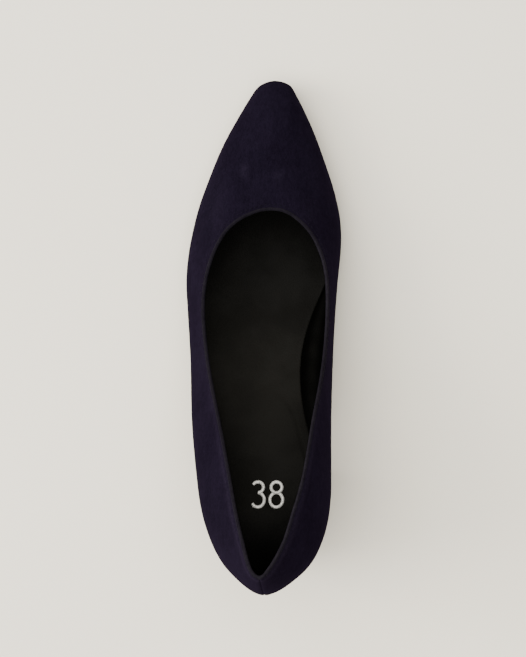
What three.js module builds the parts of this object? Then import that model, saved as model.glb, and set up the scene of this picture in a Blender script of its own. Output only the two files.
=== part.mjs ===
// A woman's left court shoe with a softly squared almond toe and a covered block heel, in millimetres.
// +X points to the big-toe side, +Y to the toe and +Z up. The origin is on the floor, under the middle
// of the shoe's outline. The shoe is a stack of five pieces: a rubber top piece, a block heel, a thin
// outsole, an insole and one hollow upper, whose wall is lofted through ribs that go round the last.

import * as THREE from "three";

// Lengths, widths and heights that a last maker would state.
const LENGTH = 257.2; // back of the heel curve to the toe tip, seen from above
const BALL_WIDTH = 80; // the upper at its widest, seen from above
const HEEL_RISE = 59; // the seat's back above the tread of the ball
const TOE_SPRING = 5; // the toe tip above the tread of the ball
const BACK_HEIGHT = 58; // the topline above the sole line, at the back seam
const INSTEP_HEIGHT = 38.5; // the topline above the sole line, at the throat

// Thicknesses and the gaps between neighbours.
const UPPER_WALL = 1.8; // suede, lining and stiffener together
const OUTSOLE_THICKNESS = 3;
const OUTSOLE_EDGE = 1; // how far the outsole's lower edge is rounded in
const OUTSOLE_MARGIN = 0.8; // how far the outsole stands out past the sole line at the forefoot
const INSOLE_THICKNESS = 3;
const GAP = 0.3;
const HEEL_MARGIN = 0.4; // how far the heel's top stands out past the sole line

// The block heel and its rubber top piece.
const TOP_PIECE_THICKNESS = 5.5;
const HEEL_SEAT_LENGTH = 58.7; // the sole line's back to the heel's breast, at its top
const HEEL_FOOT_LENGTH = 48.5;
const HEEL_FOOT_WIDTH = 50;
const BREAST_SET_BACK = 7; // how far the foot of the breast lies behind its top
const BREAST_HOLLOW = 2.2; // how far the breast curves in halfway down
const SIDE_HOLLOW = 0.9; // how far the heel's sides and back curve in halfway down

// How finely the wall is cut.
const RIBS_PER_ROW = 4;
const STEPS_BELOW_SIDE = 4;
const STEPS_ABOVE_SIDE = 9;
const STEPS_ACROSS_SOLE = 6;
const STEPS_DOWN_HEEL = 5;

// Each table has one row for each rib, from the back seam forward to the toe tip. Y is a share of the
// length, counted from the middle of the shoe. Lateral and medial are shares of the ball width, counted
// from the shoe's middle line, on the little-toe and the big-toe side.

// The sole line, where the wall meets the sole. Rise is a share of the heel's rise.
const SOLE_LINE = [
  { y: -0.4847, lateral: 0.045, medial: 0.045, rise: 1.0 },
  { y: -0.4715, lateral: -0.1, medial: 0.196, rise: 0.998 },
  { y: -0.4355, lateral: -0.203, medial: 0.303, rise: 0.982 },
  { y: -0.366, lateral: -0.28, medial: 0.367, rise: 0.93 },
  { y: -0.272, lateral: -0.313, medial: 0.366, rise: 0.813 },
  { y: -0.172, lateral: -0.352, medial: 0.257, rise: 0.545 },
  { y: -0.066, lateral: -0.396, medial: 0.216, rise: 0.178 },
  { y: 0.035, lateral: -0.442, medial: 0.312, rise: 0.018 },
  { y: 0.109, lateral: -0.46, medial: 0.428, rise: 0 },
  { y: 0.175, lateral: -0.446, medial: 0.456, rise: 0 },
  { y: 0.252, lateral: -0.386, medial: 0.43, rise: 0 },
  { y: 0.346, lateral: -0.268, medial: 0.34, rise: 0 },
  { y: 0.41, lateral: -0.158, medial: 0.265, rise: 0 },
  { y: 0.4645, lateral: -0.06, medial: 0.182, rise: 0 },
  { y: 0.484, lateral: -0.01, medial: 0.145, rise: 0 },
  { y: 0.491, lateral: 0.067, medial: 0.067, rise: 0 },
];

// The side line, where the wall stands furthest out. Up is its height above the sole line, in shares
// of the back height.
const SIDE_LINE = [
  { y: -0.5, lateral: 0.048, medial: 0.048, up: 0.36 },
  { y: -0.472, lateral: -0.116, medial: 0.229, up: 0.355 },
  { y: -0.43, lateral: -0.237, medial: 0.352, up: 0.335 },
  { y: -0.358, lateral: -0.335, medial: 0.431, up: 0.315 },
  { y: -0.272, lateral: -0.386, medial: 0.447, up: 0.31 },
  { y: -0.171, lateral: -0.431, medial: 0.443, up: 0.31 },
  { y: -0.066, lateral: -0.464, medial: 0.447, up: 0.3 },
  { y: 0.039, lateral: -0.496, medial: 0.462, up: 0.27 },
  { y: 0.109, lateral: -0.506, medial: 0.479, up: 0.235 },
  { y: 0.175, lateral: -0.48, medial: 0.497, up: 0.21 },
  { y: 0.253, lateral: -0.418, medial: 0.471, up: 0.195 },
  { y: 0.35, lateral: -0.299, medial: 0.374, up: 0.175 },
  { y: 0.415, lateral: -0.192, medial: 0.293, up: 0.155 },
  { y: 0.4716, lateral: -0.082, medial: 0.204, up: 0.135 },
  { y: 0.4925, lateral: -0.019, medial: 0.156, up: 0.125 },
  { y: 0.5, lateral: 0.068, medial: 0.068, up: 0.125 },
];

// The topline. Up is its height above the sole line right below it, in shares that run from the back
// height at the seam to the instep height at the throat.
const TOPLINE = [
  { y: -0.4525, lateral: 0.04, medial: 0.04, up: 1.0 },
  { y: -0.4375, lateral: -0.022, medial: 0.1, up: 0.985 },
  { y: -0.393, lateral: -0.07, medial: 0.18, up: 0.94 },
  { y: -0.344, lateral: -0.112, medial: 0.23, up: 0.91 },
  { y: -0.272, lateral: -0.163, medial: 0.293, up: 0.885 },
  { y: -0.175, lateral: -0.24, medial: 0.343, up: 0.89 },
  { y: -0.074, lateral: -0.327, medial: 0.4, up: 0.965 },
  { y: 0.033, lateral: -0.375, medial: 0.424, up: 0.98 },
  { y: 0.107, lateral: -0.352, medial: 0.414, up: 1.02 },
  { y: 0.154, lateral: -0.3, medial: 0.371, up: 1.05 },
  { y: 0.1895, lateral: -0.233, medial: 0.308, up: 1.05 },
  { y: 0.2115, lateral: -0.156, medial: 0.238, up: 1.035 },
  { y: 0.2235, lateral: -0.087, medial: 0.187, up: 1.015 },
  { y: 0.231, lateral: -0.022, medial: 0.136, up: 1.005 },
  { y: 0.2335, lateral: 0.02, medial: 0.097, up: 1.0 },
  { y: 0.2345, lateral: 0.058, medial: 0.058, up: 1.0 },
];

// How each rib bends between those lines. Lift is how long it climbs straight up from the side line,
// as a share of its rise. Reach is how long it runs straight into the topline, as a share of its
// length, and slope is its angle there above the level, in degrees.
const RIB_FORM = [
  { lift: 0.4, reach: 0.34, slope: 70 },
  { lift: 0.4, reach: 0.34, slope: 66 },
  { lift: 0.36, reach: 0.32, slope: 60 },
  { lift: 0.34, reach: 0.32, slope: 56 },
  { lift: 0.32, reach: 0.32, slope: 54 },
  { lift: 0.32, reach: 0.32, slope: 59 },
  { lift: 0.36, reach: 0.34, slope: 72 },
  { lift: 0.4, reach: 0.34, slope: 75 },
  { lift: 0.42, reach: 0.36, slope: 65 },
  { lift: 0.44, reach: 0.38, slope: 54 },
  { lift: 0.46, reach: 0.4, slope: 42 },
  { lift: 0.46, reach: 0.42, slope: 29 },
  { lift: 0.44, reach: 0.42, slope: 23 },
  { lift: 0.43, reach: 0.42, slope: 20 },
  { lift: 0.42, reach: 0.42, slope: 19 },
  { lift: 0.42, reach: 0.42, slope: 18.5 },
];

// The lower part of every rib, in shares of its run out and its climb: which way it leaves the sole
// line, and how long it runs straight up into the side line.
const FOOT_OUT = 0.25;
const FOOT_UP = 0.18;
const SIDE_DROP = 0.45;

// Where the toe spring starts, as a share of the length.
const SPRING_START = 0.2;

const TIP_ROW = SOLE_LINE.length - 1;
const ROWS_AROUND = 2 * TIP_ROW;
const SOLE_LINE_FLOOR = OUTSOLE_THICKNESS + GAP;
const NEARBY = 0.02; // the step, in rows or along a rib, over which a direction is measured

// The smooth closed curve through values, a cubic spline, as a function of the row that it is asked
// for. Bend is the spline's second derivative at each value, found by repeated sweeps.
function closedCurve(values) {
  const SWEEPS = 40;
  const count = values.length;
  const bend = new Array(count).fill(0);
  for (let sweep = 0; sweep < SWEEPS; sweep++) {
    for (let i = 0; i < count; i++) {
      const before = (i + count - 1) % count;
      const after = (i + 1) % count;
      const turn = 6 * (values[before] - 2 * values[i] + values[after]);
      bend[i] = (turn - bend[before] - bend[after]) / 4;
    }
  }
  return (row) => {
    const whole = Math.floor(row);
    const i = ((whole % count) + count) % count;
    const j = (i + 1) % count;
    const f = row - whole;
    const g = 1 - f;
    return g * values[i] + f * values[j] + ((g ** 3 - g) * bend[i] + (f ** 3 - f) * bend[j]) / 6;
  };
}

// A column read round the shoe: down the lateral side to the toe tip and back along the medial side.
function roundTheShoe(table, lateralColumn, medialColumn) {
  const values = table.map((row) => row[lateralColumn]);
  for (let i = TIP_ROW - 1; i > 0; i--) values.push(table[i][medialColumn]);
  return closedCurve(values);
}

function planLine(table) {
  const x = roundTheShoe(table, "lateral", "medial");
  const y = roundTheShoe(table, "y", "y");
  return (row) => new THREE.Vector2(x(row) * BALL_WIDTH, y(row) * LENGTH);
}

const soleLinePlan = planLine(SOLE_LINE);
const sideLinePlan = planLine(SIDE_LINE);
const toplinePlan = planLine(TOPLINE);
const sideUp = roundTheShoe(SIDE_LINE, "up", "up");
const toplineUp = roundTheShoe(TOPLINE, "up", "up");
const lift = roundTheShoe(RIB_FORM, "lift", "lift");
const reach = roundTheShoe(RIB_FORM, "reach", "reach");
const slope = roundTheShoe(RIB_FORM, "slope", "slope");
const rise = roundTheShoe(SOLE_LINE, "rise", "rise");

// The value, between a low and a high one, at which isBelow turns from true to false.
function turningPoint(isBelow, low, high) {
  const HALVINGS = 24;
  for (let i = 0; i < HALVINGS; i++) {
    const middle = (low + high) / 2;
    if (isBelow(middle)) low = middle;
    else high = middle;
  }
  return (low + high) / 2;
}

// The row, on the lateral side, at which the sole line passes a place along the shoe.
function rowAt(y) {
  return turningPoint((row) => soleLinePlan(row).y < y, 0, TIP_ROW);
}

// The height of the sole line above the floor: flat under the ball, up the arch to the seat behind it,
// and up the toe spring in front.
function soleLineHeight(y) {
  const climb = Math.max(0, rise(rowAt(y))) * HEEL_RISE;
  const ahead = Math.max(0, y - SPRING_START * LENGTH) / (LENGTH / 2 - SPRING_START * LENGTH);
  return SOLE_LINE_FLOOR + climb + TOE_SPRING * ahead ** 2;
}

function soleLinePoint(row) {
  const p = soleLinePlan(row);
  return new THREE.Vector3(p.x, p.y, soleLineHeight(p.y));
}

function sideLinePoint(row) {
  const p = sideLinePlan(row);
  return new THREE.Vector3(p.x, p.y, soleLinePoint(row).z + sideUp(row) * BACK_HEIGHT);
}

function toplinePoint(row) {
  const p = toplinePlan(row);
  const backY = TOPLINE[0].y * LENGTH;
  const throatY = TOPLINE[TIP_ROW].y * LENGTH;
  const forward = THREE.MathUtils.clamp((p.y - backY) / (throatY - backY), 0, 1);
  const height = THREE.MathUtils.lerp(BACK_HEIGHT, INSTEP_HEIGHT, forward);
  return new THREE.Vector3(p.x, p.y, soleLineHeight(p.y) + toplineUp(row) * height);
}

// One rib as two curves: out and up from the sole line to the side line, and on to the topline.
function ribCurves(row) {
  const sole = soleLinePoint(row);
  const side = sideLinePoint(row);
  const top = toplinePoint(row);
  const up = new THREE.Vector3(0, 0, 1);
  const outward = side.clone().sub(sole).setZ(0);
  const lower = new THREE.CubicBezierCurve3(
    sole,
    sole.clone().addScaledVector(outward, FOOT_OUT).addScaledVector(up, FOOT_UP * (side.z - sole.z)),
    side.clone().addScaledVector(up, -SIDE_DROP * (side.z - sole.z)),
    side,
  );
  const inward = top.clone().sub(side).setZ(0).normalize();
  const angle = THREE.MathUtils.degToRad(slope(row));
  const arrival = inward.multiplyScalar(Math.cos(angle)).addScaledVector(up, Math.sin(angle));
  const upper = new THREE.CubicBezierCurve3(
    side,
    side.clone().addScaledVector(up, lift(row) * (top.z - side.z)),
    top.clone().addScaledVector(arrival, -reach(row) * top.distanceTo(side)),
    top,
  );
  return { lower, upper };
}

// A point of the wall's outside. Along runs from 0 at the sole line to 1 at the side line and 2 at the
// topline.
function outsidePoint(row, along) {
  const { lower, upper } = ribCurves(row);
  return along <= 1 ? lower.getPoint(along) : upper.getPoint(along - 1);
}

function outsideNormal(row, along) {
  const round = outsidePoint(row + NEARBY, along).sub(outsidePoint(row - NEARBY, along));
  const low = Math.max(0, along - NEARBY);
  const high = Math.min(2, along + NEARBY);
  const climb = outsidePoint(row, high).sub(outsidePoint(row, low));
  return climb.cross(round).normalize();
}

// The same place on the wall's inside. At the sole line the wall stands level on the sole.
function insidePoint(row, along) {
  const normal = outsideNormal(row, along);
  if (along === 0) normal.setZ(0).normalize();
  return outsidePoint(row, along).addScaledVector(normal, -UPPER_WALL);
}

// The wall's inside at a height above the sole line.
function insideAtHeight(row, height) {
  const wanted = soleLinePoint(row).z + height;
  return insidePoint(row, turningPoint((along) => insidePoint(row, along).z < wanted, 0, 1));
}

// A closed mesh, built up from points and the faces between them. Points at one place are one point,
// and a face that has shrunk to a line is left out.
class Skin {
  constructor() {
    this.points = [];
    this.faces = [];
    this.known = new Map();
  }

  add(point) {
    const key = point.toArray().map((value) => value.toFixed(4)).join(" ");
    if (!this.known.has(key)) {
      this.known.set(key, this.points.length / 3);
      this.points.push(point.x, point.y, point.z);
    }
    return this.known.get(key);
  }

  addRing(points) {
    return points.map((point) => this.add(point));
  }

  triangle(a, b, c) {
    if (a !== b && b !== c && c !== a) this.faces.push(a, b, c);
  }

  // Joins two closed rings of points side by side.
  strip(near, far) {
    near.forEach((a, i) => {
      const j = (i + 1) % near.length;
      this.triangle(a, near[j], far[j]);
      this.triangle(a, far[j], far[i]);
    });
  }

  // Closes a ring with a fan.
  fan(ring, centre) {
    const middle = this.add(centre);
    ring.forEach((a, i) => this.triangle(a, ring[(i + 1) % ring.length], middle));
  }

  geometry() {
    const made = new THREE.BufferGeometry();
    made.setAttribute("position", new THREE.Float32BufferAttribute(this.points, 3));
    made.setIndex(this.faces);
    made.computeVertexNormals();
    return made;
  }
}

function middleOf(points) {
  return points.reduce((sum, p) => sum.add(p), new THREE.Vector3()).divideScalar(points.length);
}

function steps(count, make) {
  return Array.from({ length: count + 1 }, (_, i) => make(i / count));
}

function upperGeometry() {
  const skin = new Skin();
  const ribs = ROWS_AROUND * RIBS_PER_ROW;
  const stops = [
    ...steps(STEPS_BELOW_SIDE, (share) => share).slice(0, -1),
    ...steps(STEPS_ABOVE_SIDE, (share) => 1 + share),
  ];
  const ring = (pointOf, along) =>
    skin.addRing(Array.from({ length: ribs }, (_, i) => pointOf(i / RIBS_PER_ROW, along)));
  const inside = stops.map((along) => ring(insidePoint, along));
  const outside = stops.map((along) => ring(outsidePoint, along)).reverse();
  const rings = [...inside, ...outside];
  rings.forEach((near, i) => skin.strip(near, rings[(i + 1) % rings.length]));
  return skin.geometry();
}

// A plate made of chords across the shoe, from a first row to the toe tip. The function edge gives one
// edge's points, from the top face down to the bottom face, at a row on either side.
function plateGeometry(firstRow, edge) {
  const skin = new Skin();
  const chord = (from, to) => steps(STEPS_ACROSS_SOLE, (share) => from.clone().lerp(to, share));
  const count = Math.ceil((TIP_ROW - firstRow) * RIBS_PER_ROW);
  const outlines = steps(count, (share) => {
    const row = THREE.MathUtils.lerp(firstRow, TIP_ROW, share);
    const lateral = edge(row);
    const medial = edge(ROWS_AROUND - row);
    const bottom = lateral.length - 1;
    return [
      ...chord(lateral[0], medial[0]),
      ...medial.slice(1, bottom),
      ...chord(medial[bottom], lateral[bottom]),
      ...lateral.slice(1, bottom).reverse(),
    ];
  });
  const rings = outlines.map((points) => skin.addRing(points));
  for (let i = 0; i < count; i++) skin.strip(rings[i], rings[i + 1]);
  if (firstRow > 0) skin.fan([...rings[0]].reverse(), middleOf(outlines[0]));
  return skin.geometry();
}

// A point moved level, away from the shoe, square to the sole line.
function movedOut(point, row, distance) {
  const along = soleLinePlan(row + NEARBY).sub(soleLinePlan(row - NEARBY)).normalize();
  return new THREE.Vector3(point.x - along.y * distance, point.y + along.x * distance, point.z);
}

function insoleGeometry() {
  const edge = (row) => [
    movedOut(insideAtHeight(row, INSOLE_THICKNESS), row, -GAP),
    movedOut(insidePoint(row, 0), row, -GAP),
  ];
  return plateGeometry(0, edge);
}

const BREAST_Y = soleLinePlan(0).y + HEEL_SEAT_LENGTH;

// The outsole is trimmed close at the heel and stands out at the ball.
function outsoleMargin(y) {
  return OUTSOLE_MARGIN * THREE.MathUtils.smoothstep(y, BREAST_Y, 0);
}

function outsoleGeometry() {
  const edge = (row) => {
    const point = soleLinePoint(row);
    const side = movedOut(point, row, outsoleMargin(point.y));
    const rounded = movedOut(side, row, -OUTSOLE_EDGE);
    const top = side.z - GAP;
    const bottom = top - OUTSOLE_THICKNESS;
    return [side.clone().setZ(top), side.clone().setZ(bottom + OUTSOLE_EDGE), rounded.setZ(bottom)];
  };
  return plateGeometry(rowAt(BREAST_Y + GAP), edge);
}

// The heel's outline in plan, at its top: round the seat from one end of the breast to the other, and
// straight back across the breast. Hollow is how far a point takes part in the breast's hollow.
function heelOutline() {
  const breastRow = rowAt(BREAST_Y);
  const seat = steps(Math.ceil(2 * breastRow * RIBS_PER_ROW), (share) => {
    const row = THREE.MathUtils.lerp(-breastRow, breastRow, share);
    const p = movedOut(soleLinePoint(row), row, HEEL_MARGIN);
    return { x: p.x, y: Math.min(p.y, BREAST_Y), hollow: 0 };
  });
  const breast = steps(STEPS_ACROSS_SOLE, (share) => ({
    x: THREE.MathUtils.lerp(seat[seat.length - 1].x, seat[0].x, share),
    y: BREAST_Y,
    hollow: Math.sin(Math.PI * share),
  }));
  return [...seat, ...breast.slice(1, -1)];
}

const heelPlan = heelOutline();
const heelBox = new THREE.Box2().setFromPoints(heelPlan.map((p) => new THREE.Vector2(p.x, p.y)));
const heelMiddle = heelBox.getCenter(new THREE.Vector2()).x;
const heelSize = heelBox.getSize(new THREE.Vector2());

// One level of the heel, from down = 0 under the seat to down = 1 at its foot.
function heelRing(down) {
  const bend = Math.sin(Math.PI * down);
  const narrow = THREE.MathUtils.lerp(heelSize.x, HEEL_FOOT_WIDTH, down) - 2 * SIDE_HOLLOW * bend;
  const short = THREE.MathUtils.lerp(heelSize.y, HEEL_FOOT_LENGTH, down) - SIDE_HOLLOW * bend;
  return heelPlan.map(({ x, y, hollow }) => {
    const breast = BREAST_Y - BREAST_SET_BACK * down - BREAST_HOLLOW * bend * hollow;
    return new THREE.Vector3(
      heelMiddle + ((x - heelMiddle) * narrow) / heelSize.x,
      breast - ((BREAST_Y - y) * short) / heelSize.y,
      THREE.MathUtils.lerp(soleLineHeight(y) - GAP, TOP_PIECE_THICKNESS + GAP, down),
    );
  });
}

// A solid from rings laid one under the other, flat underneath. Its top is closed by smaller rings,
// which follow the height that topHeight gives along the shoe.
function stackGeometry(levels, topHeight) {
  const skin = new Skin();
  const highest = levels[0];
  const centre = middleOf(highest);
  const topped = (p) => new THREE.Vector3(p.x, p.y, topHeight(p.y));
  const shrunk = (share) => highest.map((p) => topped(centre.clone().lerp(p, share)));
  const rings = [shrunk(1 / 3), shrunk(2 / 3), ...levels].map((points) => skin.addRing(points));
  for (let i = 0; i + 1 < rings.length; i++) skin.strip(rings[i], rings[i + 1]);
  skin.fan([...rings[0]].reverse(), topped(centre));
  skin.fan(rings[rings.length - 1], middleOf(levels[levels.length - 1]));
  return skin.geometry();
}

function heelGeometry() {
  return stackGeometry(steps(STEPS_DOWN_HEEL, heelRing), (y) => soleLineHeight(y) - GAP);
}

function topPieceGeometry() {
  const foot = heelRing(1);
  const levels = [TOP_PIECE_THICKNESS, 0].map((height) => foot.map((p) => p.clone().setZ(height)));
  return stackGeometry(levels, () => TOP_PIECE_THICKNESS);
}

const navySuede = new THREE.MeshStandardMaterial({ color: 0x1d1829, roughness: 0.95, metalness: 0 });
const blackSock = new THREE.MeshStandardMaterial({ color: 0x25241f, roughness: 0.7, metalness: 0 });
const blackSole = new THREE.MeshStandardMaterial({ color: 0x17161a, roughness: 0.55, metalness: 0 });
const blackRubber = new THREE.MeshStandardMaterial({ color: 0x121212, roughness: 0.8, metalness: 0 });

function piece(name, geometry, material) {
  const mesh = new THREE.Mesh(geometry, material);
  mesh.name = name;
  return mesh;
}

const shoe = new THREE.Group();
shoe.add(piece("upper", upperGeometry(), navySuede));
shoe.add(piece("insole", insoleGeometry(), blackSock));
shoe.add(piece("outsole", outsoleGeometry(), blackSole));
shoe.add(piece("heel", heelGeometry(), navySuede));
shoe.add(piece("top_piece", topPieceGeometry(), blackRubber));

export default shoe;
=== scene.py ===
"""Looks for a left court shoe: dark navy suede over a tapered almond last, on a covered block heel.

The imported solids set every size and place. Each visible piece is built here again, far finer, from the
same lines round the last: the sole line, the side line and the topline. Shapes are worked out in
millimetres and turned into metres when a mesh is made.
"""

from __future__ import annotations

import logging
import math
from dataclasses import dataclass, field
from enum import Enum
from typing import Callable, NamedTuple, Sequence

import bpy
import numpy as np
from mathutils import Matrix, Vector

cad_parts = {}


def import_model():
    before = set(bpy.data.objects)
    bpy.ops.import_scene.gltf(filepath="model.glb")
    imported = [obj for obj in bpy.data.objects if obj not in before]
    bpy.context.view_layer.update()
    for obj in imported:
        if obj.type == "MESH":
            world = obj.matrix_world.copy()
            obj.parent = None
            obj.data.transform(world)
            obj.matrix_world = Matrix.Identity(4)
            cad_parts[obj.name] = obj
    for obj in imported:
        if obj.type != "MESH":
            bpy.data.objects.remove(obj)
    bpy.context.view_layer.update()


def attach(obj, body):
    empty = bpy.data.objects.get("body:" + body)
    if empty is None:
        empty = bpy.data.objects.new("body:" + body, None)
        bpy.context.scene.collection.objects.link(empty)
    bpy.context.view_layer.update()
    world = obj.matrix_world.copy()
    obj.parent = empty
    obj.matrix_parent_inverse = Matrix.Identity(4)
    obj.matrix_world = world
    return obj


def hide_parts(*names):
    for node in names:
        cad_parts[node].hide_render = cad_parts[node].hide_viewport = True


LOG = logging.getLogger("court_shoe")
ROOT_BODY = "root"
MM = 0.001
Array = np.ndarray
Wire = bpy.types.NodeSocket
Thing = bpy.types.Object
Material = bpy.types.Material
Tree = bpy.types.NodeTree
Pair = tuple[float, float]
Place = tuple[float, float, float]
Colour = tuple[float, float, float, float]
UP = np.array([0.0, 0.0, 1.0])
LEVEL = np.array([1.0, 1.0, 0.0])
FULL_TURN = 2.0 * math.pi
# Most of a noise texture's values lie in this range.
NOISE_SPAN = (0.3, 0.7)


class Slot(Enum):
    """The record's material slots."""

    SUEDE = "suede"
    SOCK = "sock"
    SOLE = "sole"
    RUBBER = "rubber"


class Side(Enum):
    """The two sides of the shoe, by the table column that holds them."""

    LATERAL = "lateral"
    MEDIAL = "medial"


class SoleRow(NamedTuple):
    """One rib's place on the sole line, in shares of the length, the ball width and the heel's rise."""

    y: float
    lateral: float
    medial: float
    rise: float


class WallRow(NamedTuple):
    """One rib's place on the side line or the topline. Up is in shares of the heights that it follows."""

    y: float
    lateral: float
    medial: float
    up: float


class FormRow(NamedTuple):
    """How one rib bends between the side line and the topline."""

    lift: float
    reach: float
    slope: float


# One row for each rib, from the back seam forward to the toe tip.
SOLE_LINE = (
    SoleRow(-0.4847, 0.045, 0.045, 1.0),
    SoleRow(-0.4715, -0.1, 0.196, 0.998),
    SoleRow(-0.4355, -0.203, 0.303, 0.982),
    SoleRow(-0.366, -0.28, 0.367, 0.93),
    SoleRow(-0.272, -0.313, 0.366, 0.813),
    SoleRow(-0.172, -0.352, 0.257, 0.545),
    SoleRow(-0.066, -0.396, 0.216, 0.178),
    SoleRow(0.035, -0.442, 0.312, 0.018),
    SoleRow(0.109, -0.46, 0.428, 0.0),
    SoleRow(0.175, -0.446, 0.456, 0.0),
    SoleRow(0.252, -0.386, 0.43, 0.0),
    SoleRow(0.346, -0.268, 0.34, 0.0),
    SoleRow(0.41, -0.158, 0.265, 0.0),
    SoleRow(0.4645, -0.06, 0.182, 0.0),
    SoleRow(0.484, -0.01, 0.145, 0.0),
    SoleRow(0.491, 0.067, 0.067, 0.0),
)
SIDE_LINE = (
    WallRow(-0.5, 0.048, 0.048, 0.36),
    WallRow(-0.472, -0.116, 0.229, 0.355),
    WallRow(-0.43, -0.237, 0.352, 0.335),
    WallRow(-0.358, -0.335, 0.431, 0.315),
    WallRow(-0.272, -0.386, 0.447, 0.31),
    WallRow(-0.171, -0.431, 0.443, 0.31),
    WallRow(-0.066, -0.464, 0.447, 0.3),
    WallRow(0.039, -0.496, 0.462, 0.27),
    WallRow(0.109, -0.506, 0.479, 0.235),
    WallRow(0.175, -0.48, 0.497, 0.21),
    WallRow(0.253, -0.418, 0.471, 0.195),
    WallRow(0.35, -0.299, 0.374, 0.175),
    WallRow(0.415, -0.192, 0.293, 0.155),
    WallRow(0.4716, -0.082, 0.204, 0.135),
    WallRow(0.4925, -0.019, 0.156, 0.125),
    WallRow(0.5, 0.068, 0.068, 0.125),
)
TOPLINE = (
    WallRow(-0.4525, 0.04, 0.04, 1.0),
    WallRow(-0.4375, -0.022, 0.1, 0.985),
    WallRow(-0.393, -0.07, 0.18, 0.94),
    WallRow(-0.344, -0.112, 0.23, 0.91),
    WallRow(-0.272, -0.163, 0.293, 0.885),
    WallRow(-0.175, -0.24, 0.343, 0.89),
    WallRow(-0.074, -0.327, 0.4, 0.965),
    WallRow(0.033, -0.375, 0.424, 0.98),
    WallRow(0.107, -0.352, 0.414, 1.02),
    WallRow(0.154, -0.3, 0.371, 1.05),
    WallRow(0.1895, -0.233, 0.308, 1.05),
    WallRow(0.2115, -0.156, 0.238, 1.035),
    WallRow(0.2235, -0.087, 0.187, 1.015),
    WallRow(0.231, -0.022, 0.136, 1.005),
    WallRow(0.2335, 0.02, 0.097, 1.0),
    WallRow(0.2345, 0.058, 0.058, 1.0),
)
RIB_FORM = (
    FormRow(0.4, 0.34, 70.0),
    FormRow(0.4, 0.34, 66.0),
    FormRow(0.36, 0.32, 60.0),
    FormRow(0.34, 0.32, 56.0),
    FormRow(0.32, 0.32, 54.0),
    FormRow(0.32, 0.32, 59.0),
    FormRow(0.36, 0.34, 72.0),
    FormRow(0.4, 0.34, 75.0),
    FormRow(0.42, 0.36, 65.0),
    FormRow(0.44, 0.38, 54.0),
    FormRow(0.46, 0.4, 42.0),
    FormRow(0.46, 0.42, 29.0),
    FormRow(0.44, 0.42, 23.0),
    FormRow(0.43, 0.42, 20.0),
    FormRow(0.42, 0.42, 19.0),
    FormRow(0.42, 0.42, 18.5),
)
TIP_ROW = len(SOLE_LINE) - 1
ROWS_AROUND = 2 * TIP_ROW


def smooth(low: float, high: float, value: Array) -> Array:
    """Eases from 0 at low to 1 at high."""
    t = np.clip((value - low) / (high - low), 0.0, 1.0)
    return t * t * (3.0 - 2.0 * t)


def band(value: Array, rise: Pair, fall: Pair) -> Array:
    """Eases from 0 up to 1 over one range of the value, and back down over a later one."""
    return smooth(*rise, value) * (1.0 - smooth(*fall, value))


def hump(value: Array, width: float) -> Array:
    """Gives 1 where the value is 0, falling softly to 0 over about twice the width."""
    return np.exp(-((value / width) ** 2))


def unit(vectors: Array) -> Array:
    """Scales each vector of the last axis to length one."""
    return vectors / np.maximum(np.linalg.norm(vectors, axis=-1, keepdims=True), 1e-12)


def read(places: Array, values: Array, at: Array | float) -> Array:
    """Reads a table, whose rows lie at rising places, at other places."""
    return np.stack([np.interp(at, places, column) for column in values.T], axis=-1)


def even_steps(count: int) -> Array:
    """Gives places in even steps from 0 to 1."""
    return np.linspace(0.0, 1.0, count)


def put(name: str, data: bpy.types.ID) -> Thing:
    """Puts a mesh, a light or a camera into the scene.

    Args:
        name: The new object's name.
        data: The mesh, the light or the camera.

    Returns:
        The object.
    """
    made = bpy.data.objects.new(name, data)
    bpy.context.scene.collection.objects.link(made)
    return made


def lengths_along(line: Array) -> Array:
    """Gives the distance run at each point of a line, from 0 at its start."""
    return np.concatenate([[0.0], np.cumsum(np.linalg.norm(np.diff(line, axis=0), axis=1))])


def bezier(a: Array, b: Array, c: Array, d: Array, t: Array) -> Array:
    """Gives points of cubic Bezier curves.

    Args:
        a: Start of each curve, n by 3.
        b: First handle of each curve.
        c: Second handle of each curve.
        d: End of each curve.
        t: Places along the curves, m values from 0 to 1.

    Returns:
        The points, n by m by 3.
    """
    s = t[None, :, None]
    r = 1.0 - s
    ends = r**3 * a[:, None] + s**3 * d[:, None]
    return ends + 3 * r * r * s * b[:, None] + 3 * r * s * s * c[:, None]


class ClosedCurve:
    """The smooth closed curve through values, a periodic cubic spline."""

    def __init__(self, values: Sequence[float]) -> None:
        """Solves for the spline's bend at each value.

        Args:
            values: One value for each whole row.
        """
        self.values = np.asarray(values, dtype=float)
        turn = 6 * (np.roll(self.values, 1) - 2 * self.values + np.roll(self.values, -1))
        one = np.eye(len(self.values))
        self.bend = np.linalg.solve(4 * one + np.roll(one, 1, 0) + np.roll(one, -1, 0), turn)

    def __call__(self, rows: Array) -> Array:
        """Gives the curve's value at each row.

        Args:
            rows: Places along the curve, where whole numbers are the given values.

        Returns:
            One value for each place.
        """
        whole = np.floor(rows)
        i = whole.astype(int) % len(self.values)
        j = (i + 1) % len(self.values)
        f = rows - whole
        g = 1.0 - f
        straight = g * self.values[i] + f * self.values[j]
        return straight + ((g**3 - g) * self.bend[i] + (f**3 - f) * self.bend[j]) / 6.0


def round_the_shoe(table: Sequence[NamedTuple], lateral: str, medial: str) -> ClosedCurve:
    """Reads a table down the lateral side to the toe tip and back along the medial side.

    Args:
        table: One row for each rib, from the back seam to the toe tip.
        lateral: The column for the way out.
        medial: The column for the way back.

    Returns:
        The closed curve through the values.
    """
    out = [getattr(row, lateral) for row in table]
    back = [getattr(row, medial) for row in table[TIP_ROW - 1 : 0 : -1]]
    return ClosedCurve(out + back)


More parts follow.
